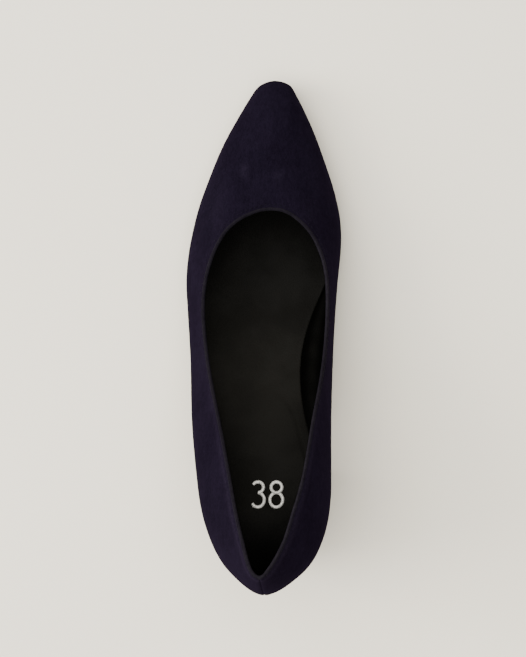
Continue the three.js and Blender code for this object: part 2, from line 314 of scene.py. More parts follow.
@dataclass(frozen=True)
class Last:
    """The form that every piece is built on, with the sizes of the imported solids, in millimetres."""

    length: float = 257.2
    ball_width: float = 80.0
    heel_rise: float = 59.0
    toe_spring: float = 5.0
    back_height: float = 58.0
    instep_height: float = 38.5
    wall: float = 1.8
    outsole: float = 3.0
    insole: float = 3.0
    gap: float = 0.3
    spring_start: float = 0.2
    foot_out: float = 0.25
    foot_up: float = 0.18
    side_drop: float = 0.45
    fine_rows: int = 4001
    rib_steps: int = 61
    normal_step: float = 0.01
    way_step: float = 0.02
    curves: dict[str, ClosedCurve] = field(default_factory=dict)

    def __post_init__(self) -> None:
        """Reads the tables into closed curves."""
        for name, table in (("sole", SOLE_LINE), ("side", SIDE_LINE), ("top", TOPLINE)):
            self.curves[name + "_x"] = round_the_shoe(table, Side.LATERAL.value, Side.MEDIAL.value)
            self.curves[name + "_y"] = round_the_shoe(table, "y", "y")
        self.curves["rise"] = round_the_shoe(SOLE_LINE, "rise", "rise")
        self.curves["side_up"] = round_the_shoe(SIDE_LINE, "up", "up")
        self.curves["top_up"] = round_the_shoe(TOPLINE, "up", "up")
        for name in FormRow._fields:
            self.curves[name] = round_the_shoe(RIB_FORM, name, name)

    def plan(self, line: str, rows: Array) -> Array:
        """Gives a line's places as seen from above.

        Args:
            line: The line's name: sole, side or top.
            rows: Places round the shoe, from 0 at the back seam to TIP_ROW at the toe tip and on.

        Returns:
            The places, n by 2.
        """
        x = self.curves[line + "_x"](rows) * self.ball_width
        y = self.curves[line + "_y"](rows) * self.length
        return np.stack([x, y], axis=-1)

    def row_at(self, y: Array) -> Array:
        """Gives the lateral row at which the sole line passes each place along the shoe."""
        rows = np.linspace(0.0, TIP_ROW, self.fine_rows)
        return np.interp(y, self.plan("sole", rows)[:, 1], rows)

    def sole_height(self, y: Array) -> Array:
        """Gives the sole line's height: flat at the ball, up to the seat and up the toe spring.

        Args:
            y: Places along the shoe.

        Returns:
            One height for each place.
        """
        climb = np.maximum(0.0, self.curves["rise"](self.row_at(y))) * self.heel_rise
        start = self.spring_start * self.length
        ahead = np.maximum(0.0, y - start) / (self.length / 2 - start)
        return self.outsole + self.gap + climb + self.toe_spring * ahead**2

    def sole_line(self, rows: Array) -> Array:
        """Gives the points where the wall meets the sole."""
        xy = self.plan("sole", rows)
        return np.column_stack([xy, self.sole_height(xy[:, 1])])

    def side_line(self, rows: Array) -> Array:
        """Gives the points where the wall stands furthest out."""
        height = self.curves["side_up"](rows) * self.back_height
        return np.column_stack([self.plan("side", rows), self.sole_line(rows)[:, 2] + height])

    def topline(self, rows: Array) -> Array:
        """Gives the points of the wall's top edge.

        Args:
            rows: Places round the shoe.

        Returns:
            The points, n by 3.
        """
        xy = self.plan("top", rows)
        back = TOPLINE[0].y * self.length
        throat = TOPLINE[TIP_ROW].y * self.length
        forward = np.clip((xy[:, 1] - back) / (throat - back), 0.0, 1.0)
        height = self.back_height + (self.instep_height - self.back_height) * forward
        return np.column_stack([xy, self.sole_height(xy[:, 1]) + self.curves["top_up"](rows) * height])

    def ribs(self, rows: Array, along: Array) -> Array:
        """Gives points of the wall's outside.

        Args:
            rows: Places round the shoe.
            along: Places up each rib, in rising order: 0 sole line, 1 side line, 2 topline.

        Returns:
            The points, rows by along by 3.
        """
        sole, side, top = self.sole_line(rows), self.side_line(rows), self.topline(rows)
        climb = (side - sole)[:, 2:]
        below = bezier(
            sole,
            sole + self.foot_out * (side - sole) * LEVEL + self.foot_up * climb * UP,
            side - self.side_drop * climb * UP,
            side,
            along[along <= 1.0],
        )
        inward = unit((top - side) * LEVEL)
        angle = np.radians(self.curves["slope"](rows))[:, None]
        arrival = inward * np.cos(angle) + UP * np.sin(angle)
        reach = self.curves["reach"](rows) * np.linalg.norm(top - side, axis=1)
        lift = self.curves["lift"](rows) * (top - side)[:, 2]
        above = bezier(
            side,
            side + lift[:, None] * UP,
            top - reach[:, None] * arrival,
            top,
            along[along > 1.0] - 1.0,
        )
        return np.concatenate([below, above], axis=1)

    def normals(self, rows: Array, along: Array) -> Array:
        """Gives the outward direction at each point that ribs gives.

        Args:
            rows: Places round the shoe.
            along: Places up each rib.

        Returns:
            Directions of length one, rows by along by 3.
        """
        step = self.normal_step
        round_shoe = self.ribs(rows + step, along) - self.ribs(rows - step, along)
        fine = np.clip(np.stack([along - step, along + step]), 0.0, 2.0)
        climb = self.ribs(rows, fine[1]) - self.ribs(rows, fine[0])
        return unit(np.cross(climb, round_shoe))

    def wall_face(self, rows: Array, along: Array, depth: float) -> Array:
        """Gives the wall's face at a depth under its outside. At the sole line the wall stands level.

        Args:
            rows: Places round the shoe.
            along: Places up each rib.
            depth: How far inside the outer face.

        Returns:
            The points, rows by along by 3.
        """
        normal = self.normals(rows, along)
        normal[:, along == 0.0, 2] = 0.0
        return self.ribs(rows, along) - depth * unit(normal)

    def moved_out(self, points: Array, rows: Array, distance: Array | float) -> Array:
        """Moves points level, away from the shoe, square to the sole line.

        Args:
            points: One point for each row, n by 3.
            rows: Places round the shoe.
            distance: How far to move.

        Returns:
            The moved points.
        """
        step = self.way_step
        way = unit(self.plan("sole", rows + step) - self.plan("sole", rows - step))
        out = points.copy()
        out[:, 0] -= way[:, 1] * distance
        out[:, 1] += way[:, 0] * distance
        return out

    def insole_edge(self, rows: Array, height: float, clearance: float) -> Array:
        """Gives the insole's edge against the wall's inside.

        Args:
            rows: Places round the shoe.
            height: How far above the sole line.
            clearance: How far to stay off the wall.

        Returns:
            The points, n by 3.
        """
        inside = self.wall_face(rows, even_steps(self.rib_steps), self.wall)
        wanted = self.sole_line(rows)[:, 2] + height
        found = np.stack([read(rib[:, 2], rib, level) for rib, level in zip(inside, wanted)])
        return self.moved_out(found, rows, -clearance)


class MeshMaker:
    """Collects points and faces, in millimetres, and turns them into one Blender object."""

    def __init__(self) -> None:
        """Starts an empty mesh."""
        self.points: list[Array] = []
        self.faces: list[Array] = []
        self.count = 0

    def add(self, points: Array) -> int:
        """Adds points.

        Args:
            points: Any number of points, with x, y and z on the last axis.

        Returns:
            The number of the first one.
        """
        first = self.count
        self.points.append(np.asarray(points, dtype=float).reshape(-1, 3))
        self.count += len(self.points[-1])
        return first

    def grid(self, points: Array, closed_rows: bool = False, closed_columns: bool = False) -> int:
        """Adds a grid of points and its faces.

        Args:
            points: Rows by columns by 3. Faces look along the cross product of column and row steps.
            closed_rows: Whether the last row joins the first.
            closed_columns: Whether the last column joins the first.

        Returns:
            The number of the grid's first point.
        """
        rows, columns = points.shape[:2]
        first = self.add(points)
        i = np.arange(rows if closed_rows else rows - 1)[:, None]
        j = np.arange(columns if closed_columns else columns - 1)[None, :]
        i2, j2 = (i + 1) % rows, (j + 1) % columns
        corners = [i * columns + j, i * columns + j2, i2 * columns + j2, i2 * columns + j]
        self.faces.append(first + np.stack(np.broadcast_arrays(*corners), axis=-1).reshape(-1, 4))
        return first

    def tube(self, rings: Array) -> None:
        """Adds a closed skin through rings, with a fan of triangles over each end.

        Args:
            rings: Rings by points by 3.
        """
        count = rings.shape[1]
        first = self.grid(rings, closed_columns=True) + np.arange(count)
        last = first + (len(rings) - 1) * count
        for ring, points in ((first[::-1], rings[0]), (last, rings[-1])):
            middle = self.add(points.mean(axis=0))
            self.faces.append(np.column_stack([ring, np.roll(ring, -1), np.full(count, middle)]))

    def make(self, name: str) -> Thing:
        """Makes the object, smooth shaded.

        Args:
            name: The object's name.

        Returns:
            The new object, linked to the scene.
        """
        mesh = bpy.data.meshes.new(name)
        faces = [face for block in self.faces for face in block.tolist()]
        mesh.from_pydata((np.concatenate(self.points) * MM).tolist(), [], faces)
        mesh.polygons.foreach_set("use_smooth", [True] * len(mesh.polygons))
        mesh.validate(verbose=False)
        mesh.update()
        return put(name, mesh)


def set_share(made: Thing, name: str, share: Callable[[Array], Array]) -> None:
    """Stores a value at each point of an object, for its material to read.

    Args:
        made: The object.
        name: The value's name.
        share: Gives the values from the points' places in millimetres, n by 3.
    """
    places = np.empty(len(made.data.vertices) * 3, dtype=np.float32)
    made.data.vertices.foreach_get("co", places)
    values = share(places.reshape(-1, 3).astype(float) / MM)
    layer = made.data.attributes.new(name, "FLOAT", "POINT")
    layer.data.foreach_set("value", values.astype(np.float32))


def dress(
    maker: MeshMaker, name: str, material: Material, slot: Slot, *nodes: str, **shares: Callable
) -> None:
    """Makes a piece and gives it its material and its place in the frame.

    Args:
        maker: The piece's points and faces.
        name: The piece's name.
        material: Its material.
        slot: The record's slot that the material belongs to; not used.
        *nodes: The CAD nodes that the piece stands for.
        **shares: Values that the material reads, each worked out as set_share does.
    """
    made = maker.make(name)
    for label, share in shares.items():
        set_share(made, label, share)
    made.data.materials.append(material)
    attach(made, ROOT_BODY)
    if nodes:
        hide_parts(*nodes)
    LOG.info("piece %s: %d faces", made.name, len(made.data.polygons))


class Socket(Enum):
    """The kinds of socket that the shader groups have."""

    VALUE = "NodeSocketFloat"
    COLOUR = "NodeSocketColor"


class NodeSheet:
    """Short calls for laying out one node tree."""

    columns: int = 8
    step_right: int = 220
    step_down: int = -260
    # The mix node's own sockets for a factor and two colours, and for its colour result.
    mix_inputs: tuple[int, ...] = (0, 6, 7)
    mix_output: int = 2

    def __init__(self, tree: Tree) -> None:
        """Takes the tree to lay out."""
        self.tree = tree
        self.placed = 0

    def node(self, kind: str, **settings: object) -> bpy.types.Node:
        """Adds a node.

        Args:
            kind: The node's type.
            **settings: Its properties.

        Returns:
            The node.
        """
        made = self.tree.nodes.new(kind)
        down, right = divmod(self.placed, self.columns)
        made.location = (self.step_right * right, self.step_down * down)
        self.placed += 1
        for key, value in settings.items():
            setattr(made, key, value)
        return made

    def feed(self, target: Wire, value: object) -> None:
        """Links a socket to another, or sets its value.

        Args:
            target: The socket that takes.
            value: A socket to link, or a plain value.
        """
        if isinstance(value, Wire):
            self.tree.links.new(value, target)
        else:
            target.default_value = value

    def math(self, operation: str, a: object, b: object = 0.0, clamp: bool = False) -> Wire:
        """Adds a math node.

        Args:
            operation: The node's operation.
            a: The first value.
            b: The second value.
            clamp: Whether the result is kept between 0 and 1.

        Returns:
            The node's output.
        """
        made = self.node("ShaderNodeMath", operation=operation, use_clamp=clamp)
        self.feed(made.inputs[0], a)
        self.feed(made.inputs[1], b)
        return made.outputs[0]

    def weighed(self, a: Wire, share_a: float, b: Wire, share_b: float) -> Wire:
        """Adds up two values, each times its own share."""
        return self.math("ADD", self.math("MULTIPLY", a, share_a), self.math("MULTIPLY", b, share_b))

    def mix(self, factor: object, a: object, b: object) -> Wire:
        """Adds a colour mix.

        Args:
            factor: The share of the second colour.
            a: The first colour.
            b: The second colour.

        Returns:
            The node's output.
        """
        made = self.node("ShaderNodeMix", data_type="RGBA")
        for number, given in zip(self.mix_inputs, (factor, a, b)):
            self.feed(made.inputs[number], given)
        return made.outputs[self.mix_output]

    def span(self, value: object, start: Pair, end: Pair = (0.0, 1.0)) -> Wire:
        """Adds a map range node that eases from one range into another.

        Args:
            value: What is mapped.
            start: The range that it comes from.
            end: The range that it goes to.

        Returns:
            The node's output.
        """
        made = self.node("ShaderNodeMapRange", interpolation_type="SMOOTHSTEP")
        for socket, given in zip(made.inputs, (value, *start, *end)):
            self.feed(socket, given)
        return made.outputs[0]

    def noise(self, place: object, scale: object, detail: float, roughness: float = 0.5) -> Wire:
        """Adds a noise texture.

        Args:
            place: Where it is read.
            scale: How fine it is.
            detail: How many finer layers it has.
            roughness: How strong the finer layers are.

        Returns:
            The noise's value.
        """
        made = self.node("ShaderNodeTexNoise")
        given = {"Vector": place, "Scale": scale, "Detail": detail, "Roughness": roughness}
        for name, value in given.items():
            self.feed(made.inputs[name], value)
        return made.outputs[0]

    def place(self, scale: Place = (1.0, 1.0, 1.0)) -> Wire:
        """Reads the place on the object, in metres.

        Args:
            scale: An own factor for each axis.

        Returns:
            The place.
        """
        made = self.node("ShaderNodeMapping")
        self.feed(made.inputs["Vector"], self.node("ShaderNodeTexCoord").outputs["Object"])
        self.feed(made.inputs["Scale"], scale)
        return made.outputs[0]


class GroupSheet(NodeSheet):
    """A shader group in the making."""

    def __init__(self, name: str, inputs: dict[str, object], outputs: dict[str, Socket]) -> None:
        """Starts the group.

        Args:
            name: The group's name.
            inputs: The value of each input, by name. Four numbers are a colour.
            outputs: Each output's kind, by name.
        """
        super().__init__(bpy.data.node_groups.new(name, "ShaderNodeTree"))
        for label, value in inputs.items():
            kind = Socket.COLOUR if isinstance(value, tuple) else Socket.VALUE
            made = self.tree.interface.new_socket(name=label, in_out="INPUT", socket_type=kind.value)
            made.default_value = value
        for label, kind in outputs.items():
            self.tree.interface.new_socket(name=label, in_out="OUTPUT", socket_type=kind.value)
        self.given = self.node("NodeGroupInput").outputs
        self.out = self.node("NodeGroupOutput").inputs


class SharedEffects:
    """The shader groups that more than one finish uses."""

    def __init__(self) -> None:
        """Builds each group once."""
        self.nap = self.build_nap()
        self.grain = self.build_grain()

    @staticmethod
    def build_nap() -> Tree:
        """Builds the nap of suede: short fibres, clumps of them, and brushed patches.

        Returns:
            The group.
        """
        sheet = GroupSheet(
            "suede_nap",
            {
                "Dark": (0.005, 0.004, 0.008, 1.0),
                "Light": (0.012, 0.01, 0.018, 1.0),
                "Patch size": 70.0,
                "Fibre size": 2400.0,
            },
            {"Colour": Socket.COLOUR, "Height": Socket.VALUE},
        )
        brushed, combed = sheet.place((1.0, 0.45, 0.8)), sheet.place((1.0, 0.4, 0.7))
        patch = sheet.noise(brushed, sheet.given["Patch size"], detail=3.0, roughness=0.55)
        fibre = sheet.noise(combed, sheet.given["Fibre size"], detail=4.0, roughness=0.7)
        clump_size = sheet.math("MULTIPLY", sheet.given["Fibre size"], 0.25)
        clump = sheet.noise(brushed, clump_size, detail=3.0, roughness=0.6)
        tone = sheet.span(patch, start=(0.36, 0.66), end=(0.0, 0.24))
        tone = sheet.math("ADD", tone, sheet.span(fibre, NOISE_SPAN, end=(0.0, 0.5)))
        tone = sheet.math("ADD", tone, sheet.span(clump, NOISE_SPAN, end=(0.0, 0.26)), clamp=True)
        height = sheet.weighed(fibre, 0.6, clump, 0.4)
        sheet.feed(sheet.out["Colour"], sheet.mix(tone, sheet.given["Dark"], sheet.given["Light"]))
        sheet.feed(sheet.out["Height"], height)
        return sheet.tree

    @staticmethod
    def build_grain() -> Tree:
        """Builds smooth leather's grain: small cells, pores and slow changes of tone.

        Returns:
            The group.
        """
        sheet = GroupSheet(
            "leather_grain",
            {
                "Dark": (0.01, 0.01, 0.009, 1.0),
                "Light": (0.02, 0.02, 0.018, 1.0),
                "Cell size": 900.0,
                "Tone size": 35.0,
            },
            {"Colour": Socket.COLOUR, "Height": Socket.VALUE, "Tone": Socket.VALUE},
        )
        place = sheet.place()
        cells = sheet.node("ShaderNodeTexVoronoi", feature="F1")
        sheet.feed(cells.inputs["Vector"], place)
        sheet.feed(cells.inputs["Scale"], sheet.given["Cell size"])
        crease = sheet.span(cells.outputs["Distance"], start=(0.1, 0.75), end=(0.0, 0.65))
        fine_size = sheet.math("MULTIPLY", sheet.given["Cell size"], 2.2)
        fine = sheet.noise(place, fine_size, detail=2.0, roughness=0.6)
        tone = sheet.span(sheet.noise(place, sheet.given["Tone size"], detail=3.0), start=(0.32, 0.7))
        mixed = sheet.weighed(tone, 0.75, fine, 0.25)
        height = sheet.weighed(fine, 0.35, crease, -1.0)
        sheet.feed(sheet.out["Colour"], sheet.mix(mixed, sheet.given["Dark"], sheet.given["Light"]))
        sheet.feed(sheet.out["Height"], height)
        sheet.feed(sheet.out["Tone"], tone)
        return sheet.tree


class Finish(NodeSheet):
    """One material in the making: its sheet and its Principled shader."""

    def __init__(self, name: str, **values: object) -> None:
        """Starts a material with only its shader and its output.

        Args:
            name: The material's name.
            **values: The shader's plain values, each named with underscores for its spaces.
        """
        self.material = bpy.data.materials.new(name)
        self.material.use_nodes = True
        self.material.node_tree.nodes.clear()
        super().__init__(self.material.node_tree)
        self.shader = self.node("ShaderNodeBsdfPrincipled")
        self.feed(self.node("ShaderNodeOutputMaterial").inputs["Surface"], self.shader.outputs[0])
        for key, value in values.items():
            self.shader.inputs[key.replace("_", " ")].default_value = value

    def group(self, tree: Tree, **values: object) -> bpy.types.Node:
        """Places a shared effect.

        Args:
            tree: The effect's group.
            **values: Its inputs, each named with underscores for its spaces.

        Returns:
            The group node.
        """
        made = self.node("ShaderNodeGroup", node_tree=tree)
        for key, value in values.items():
            self.feed(made.inputs[key.replace("_", " ")], value)
        return made

    def wire(self, name: str, value: Wire) -> None:
        """Links one of the shader's own sockets."""
        self.feed(self.shader.inputs[name], value)

    def share(self, name: str) -> Wire:
        """Reads a value that the mesh stores at its points."""
        return self.node("ShaderNodeAttribute", attribute_name=name).outputs["Fac"]

    def bump(self, height: Wire, depth: float) -> None:
        """Feeds a height into the shader's normal.

        Args:
            height: The height, from 0 to 1.
            depth: How deep 1 is, in metres.
        """
        made = self.node("ShaderNodeBump")
        self.feed(made.inputs["Distance"], depth)
        self.feed(made.inputs["Height"], height)
        self.wire("Normal", made.outputs[0])


@dataclass(frozen=True)
class SuedeFinish:
    """Dark suede with a short nap, paler where the stored rub share is high: wear, brushed nap, and a
    painted highlight on the folded edge.
    """

    name: str
    dark: Colour
    light: Colour
    rubbed: Colour
    sheen: float
    sheen_roughness: float
    sheen_tint: Colour
    specular: float = 0.0
    patch_size: float = 70.0
    fibre_size: float = 2400.0
    speck_size: float = 750.0
    speck_span: Pair = (0.36, 0.6)
    speck_strength: Pair = (0.45, 1.15)
    fibre_depth: float = 0.00022

    def make(self, effects: SharedEffects) -> Material:
        """Builds the material.

        Args:
            effects: The shared shader groups.

        Returns:
            The material.
        """
        finish = Finish(
            self.name,
            Roughness=0.95,
            Specular_IOR_Level=self.specular,
            Sheen_Weight=self.sheen,
            Sheen_Roughness=self.sheen_roughness,
            Sheen_Tint=self.sheen_tint,
        )
        sizes = {"Patch_size": self.patch_size, "Fibre_size": self.fibre_size}
        nap = finish.group(effects.nap, Dark=self.dark, Light=self.light, **sizes)
        speck = finish.noise(finish.place(), self.speck_size, detail=2.0, roughness=0.6)
        speck = finish.span(speck, self.speck_span, self.speck_strength)
        # The stored rub share: wear, and on the folded edge also a painted highlight.
        worn = finish.math("MULTIPLY", finish.share("rub"), speck)
        finish.wire("Base Color", finish.mix(worn, nap.outputs["Colour"], self.rubbed))
        finish.bump(nap.outputs["Height"], self.fibre_depth)
        return finish.material


@dataclass(frozen=True)
class LeatherFinish:
    """Smooth leather or rubber with a fine grain and a low shine."""

    name: str
    dark: Colour
    light: Colour
    roughness: float
    specular: float
    roughness_spread: float = 0.06
    cell_size: float = 900.0
    tone_size: float = 35.0
    grain_depth: float = 0.00008
    # A dark colour for painted shade, mixed in where the stored share is low.
    edge: Colour | None = None

    def make(self, effects: SharedEffects) -> Material:
        """Builds the material. With an edge colour, painted shade darkens it where the stored share is low.

        Args:
            effects: The shared shader groups.

        Returns:
            The material.
        """
        finish = Finish(self.name, Specular_IOR_Level=self.specular)
        sizes = {"Cell_size": self.cell_size, "Tone_size": self.tone_size}
        grain = finish.group(effects.grain, Dark=self.dark, Light=self.light, **sizes)
        colour = grain.outputs["Colour"]
        # Painted light and shade: the edge colour where the stored share is low, the grain's own colour
        # where it is high.
        if self.edge is not None:
            colour = finish.mix(finish.share("worn"), self.edge, colour)
        finish.wire("Base Color", colour)
        spread = (self.roughness + self.roughness_spread, self.roughness - self.roughness_spread)
        finish.wire("Roughness", finish.span(grain.outputs["Tone"], (0.0, 1.0), spread))
        finish.bump(grain.outputs["Height"], self.grain_depth)
        return finish.material


@dataclass(frozen=True)
class ThreadFinish:
    """Twisted sewing thread."""

    name: str
    colour: Colour
    worn: Colour
    twist_size: float = 3000.0
    twist_depth: float = 0.00005

    def make(self) -> Material:
        """Builds the material.

        Returns:
            The material.
        """
        finish = Finish(self.name, Roughness=0.8, Specular_IOR_Level=0.04)
        tone = finish.noise(finish.place(), self.twist_size, detail=2.0)
        finish.wire("Base Color", finish.mix(tone, self.colour, self.worn))
        finish.bump(tone, self.twist_depth)
        return finish.material


@dataclass(frozen=True)
class FoilFinish:
    """Silver foil pressed into the sock, broken up a little by the grain under it."""

    name: str
    bright: Colour
    dull: Colour
    speck_size: float = 1800.0
    speck_span: Pair = (0.34, 0.46)
    speck_roughness: Pair = (0.6, 0.35)
    speck_depth: float = 0.00003

    def make(self) -> Material:
        """Builds the material.

        Returns:
            The material.
        """
        finish = Finish(self.name, Metallic=0.35, Specular_IOR_Level=0.6)
        speck = finish.noise(finish.place(), self.speck_size, detail=3.0, roughness=0.6)
        speck = finish.span(speck, self.speck_span)
        finish.wire("Base Color", finish.mix(speck, self.dull, self.bright))
        finish.wire("Roughness", finish.span(speck, (0.0, 1.0), self.speck_roughness))
        finish.bump(speck, self.speck_depth)
        return finish.material


@dataclass(frozen=True)
class FloorFinish:
    """A pale, warm, matt floor."""

    name: str
    pale: Colour
    warm: Colour
    patch_size: float = 4.0

    def make(self) -> Material:
        """Builds the material.

        Returns:
            The material.
        """
        finish = Finish(self.name, Roughness=0.85, Specular_IOR_Level=0.15)
        tone = finish.span(finish.noise(finish.place(), self.patch_size, detail=2.0), NOISE_SPAN)
        finish.wire("Base Color", finish.mix(tone, self.pale, self.warm))
        return finish.material


class Finishes:
    """Every finish of the shoe and of the floor under it."""

    def __init__(self) -> None:
        """Builds the shared effects and the materials."""
        effects = SharedEffects()
        self.suede = SuedeFinish(
            name="navy_suede",
            dark=(0.0025, 0.0018, 0.004, 1.0),
            light=(0.0072, 0.0052, 0.0112, 1.0),
            rubbed=(0.014, 0.0106, 0.02, 1.0),
            sheen=0.014,
            sheen_roughness=0.5,
            sheen_tint=(0.72, 0.5, 1.0, 1.0),
        ).make(effects)
        self.fold = SuedeFinish(
            name="folded_edge_suede",
            dark=(0.0034, 0.0027, 0.0043, 1.0),
            light=(0.0084, 0.007, 0.0102, 1.0),
            rubbed=(0.0145, 0.0128, 0.0165, 1.0),
            sheen=0.013,
            sheen_roughness=0.4,
            sheen_tint=(0.85, 0.78, 0.95, 1.0),
            specular=0.02,
        ).make(effects)
        # The lining: its light colour shows a painted highlight band, its edge colour painted shade.
        self.lining = LeatherFinish(
            name="black_lining",
            dark=(0.0008, 0.0008, 0.0007, 1.0),
            light=(0.0034, 0.0034, 0.0029, 1.0),
            edge=(0.0002, 0.0002, 0.0001, 1.0),
            roughness=0.5,
            specular=0.035,
        ).make(effects)
        # The sock: its edge colour is painted shade, mixed in where the sock's stored share is low.
        self.sock = LeatherFinish(
            name="charcoal_sock",
            dark=(0.009, 0.0085, 0.0073, 1.0),
            light=(0.015, 0.0142, 0.0123, 1.0),
            edge=(0.0005, 0.0005, 0.0004, 1.0),
            roughness=0.74,
            specular=0.05,
        ).make(effects)
        self.sole = LeatherFinish(
            name="black_sole",
            dark=(0.004, 0.004, 0.0045, 1.0),
            light=(0.0085, 0.0083, 0.009, 1.0),
            roughness=0.74,
            specular=0.12,
            cell_size=500.0,
        ).make(effects)
        self.rubber = LeatherFinish(
            name="top_piece_rubber",
            dark=(0.005, 0.005, 0.005, 1.0),
            light=(0.0105, 0.0103, 0.01, 1.0),
            roughness=0.72,
            specular=0.16,
            cell_size=1500.0,
        ).make(effects)
        self.thread = ThreadFinish(
            name="navy_thread",
            colour=(0.003, 0.0022, 0.0046, 1.0),
            worn=(0.0085, 0.0065, 0.0122, 1.0),
        ).make()
        self.foil = FoilFinish(
            name="silver_foil",
            bright=(0.62, 0.61, 0.58, 1.0),
            dull=(0.2, 0.2, 0.19, 1.0),
        ).make()
        self.floor = FloorFinish(
            name="pale_floor",
            pale=(0.842, 0.796, 0.688, 1.0),
            warm=(0.832, 0.781, 0.668, 1.0),
        ).make()


@dataclass(frozen=True)
class Trough:
    """One soft crease, straight in plan, in millimetres."""

    start: Pair
    end: Pair
    depth: float
    width: float
    rise: Pair = (-0.15, 0.3)
    fall: Pair = (0.7, 1.15)

    def press(self, points: Array) -> Array:
        """Gives how deep the crease presses, faded towards its ends.

        Args:
            points: Any points of the skin.

        Returns:
            One depth for each point.
        """
        a = np.array(self.start)
        way = np.array(self.end) - a
        t = ((points[..., :2] - a) @ way) / (way @ way)
        near = a + np.clip(t, 0.0, 1.0)[..., None] * way
        away = np.linalg.norm(points[..., :2] - near, axis=-1)
        return self.depth * hump(away, self.width) * band(t, self.rise, self.fall)


@dataclass(frozen=True)
class Brushed:
    """One soft patch where the nap is brushed up and looks paler, in millimetres."""

    middle: Pair
    reach: Pair
    strength: float

    def tone(self, points: Array) -> Array:
        """Gives the patch's share of the paler tone at each point."""
        away = (points[..., :2] - np.array(self.middle)) / np.array(self.reach)
        return self.strength * np.exp(-(away**2).sum(axis=-1))


@dataclass(frozen=True)
class Ripple:
    """One slow unevenness of the suede: crossed waves, each with its turn along x, y, z and its start."""

    height: float
    waves: tuple[tuple[float, float, float, float], ...]

    def push(self, points: Array) -> Array:
        """Gives how far the ripple moves each point outward."""
        crossed = [np.sin(points @ np.array(wave[:3]) + wave[3]) for wave in self.waves]
        return self.height * np.prod(crossed, axis=0)


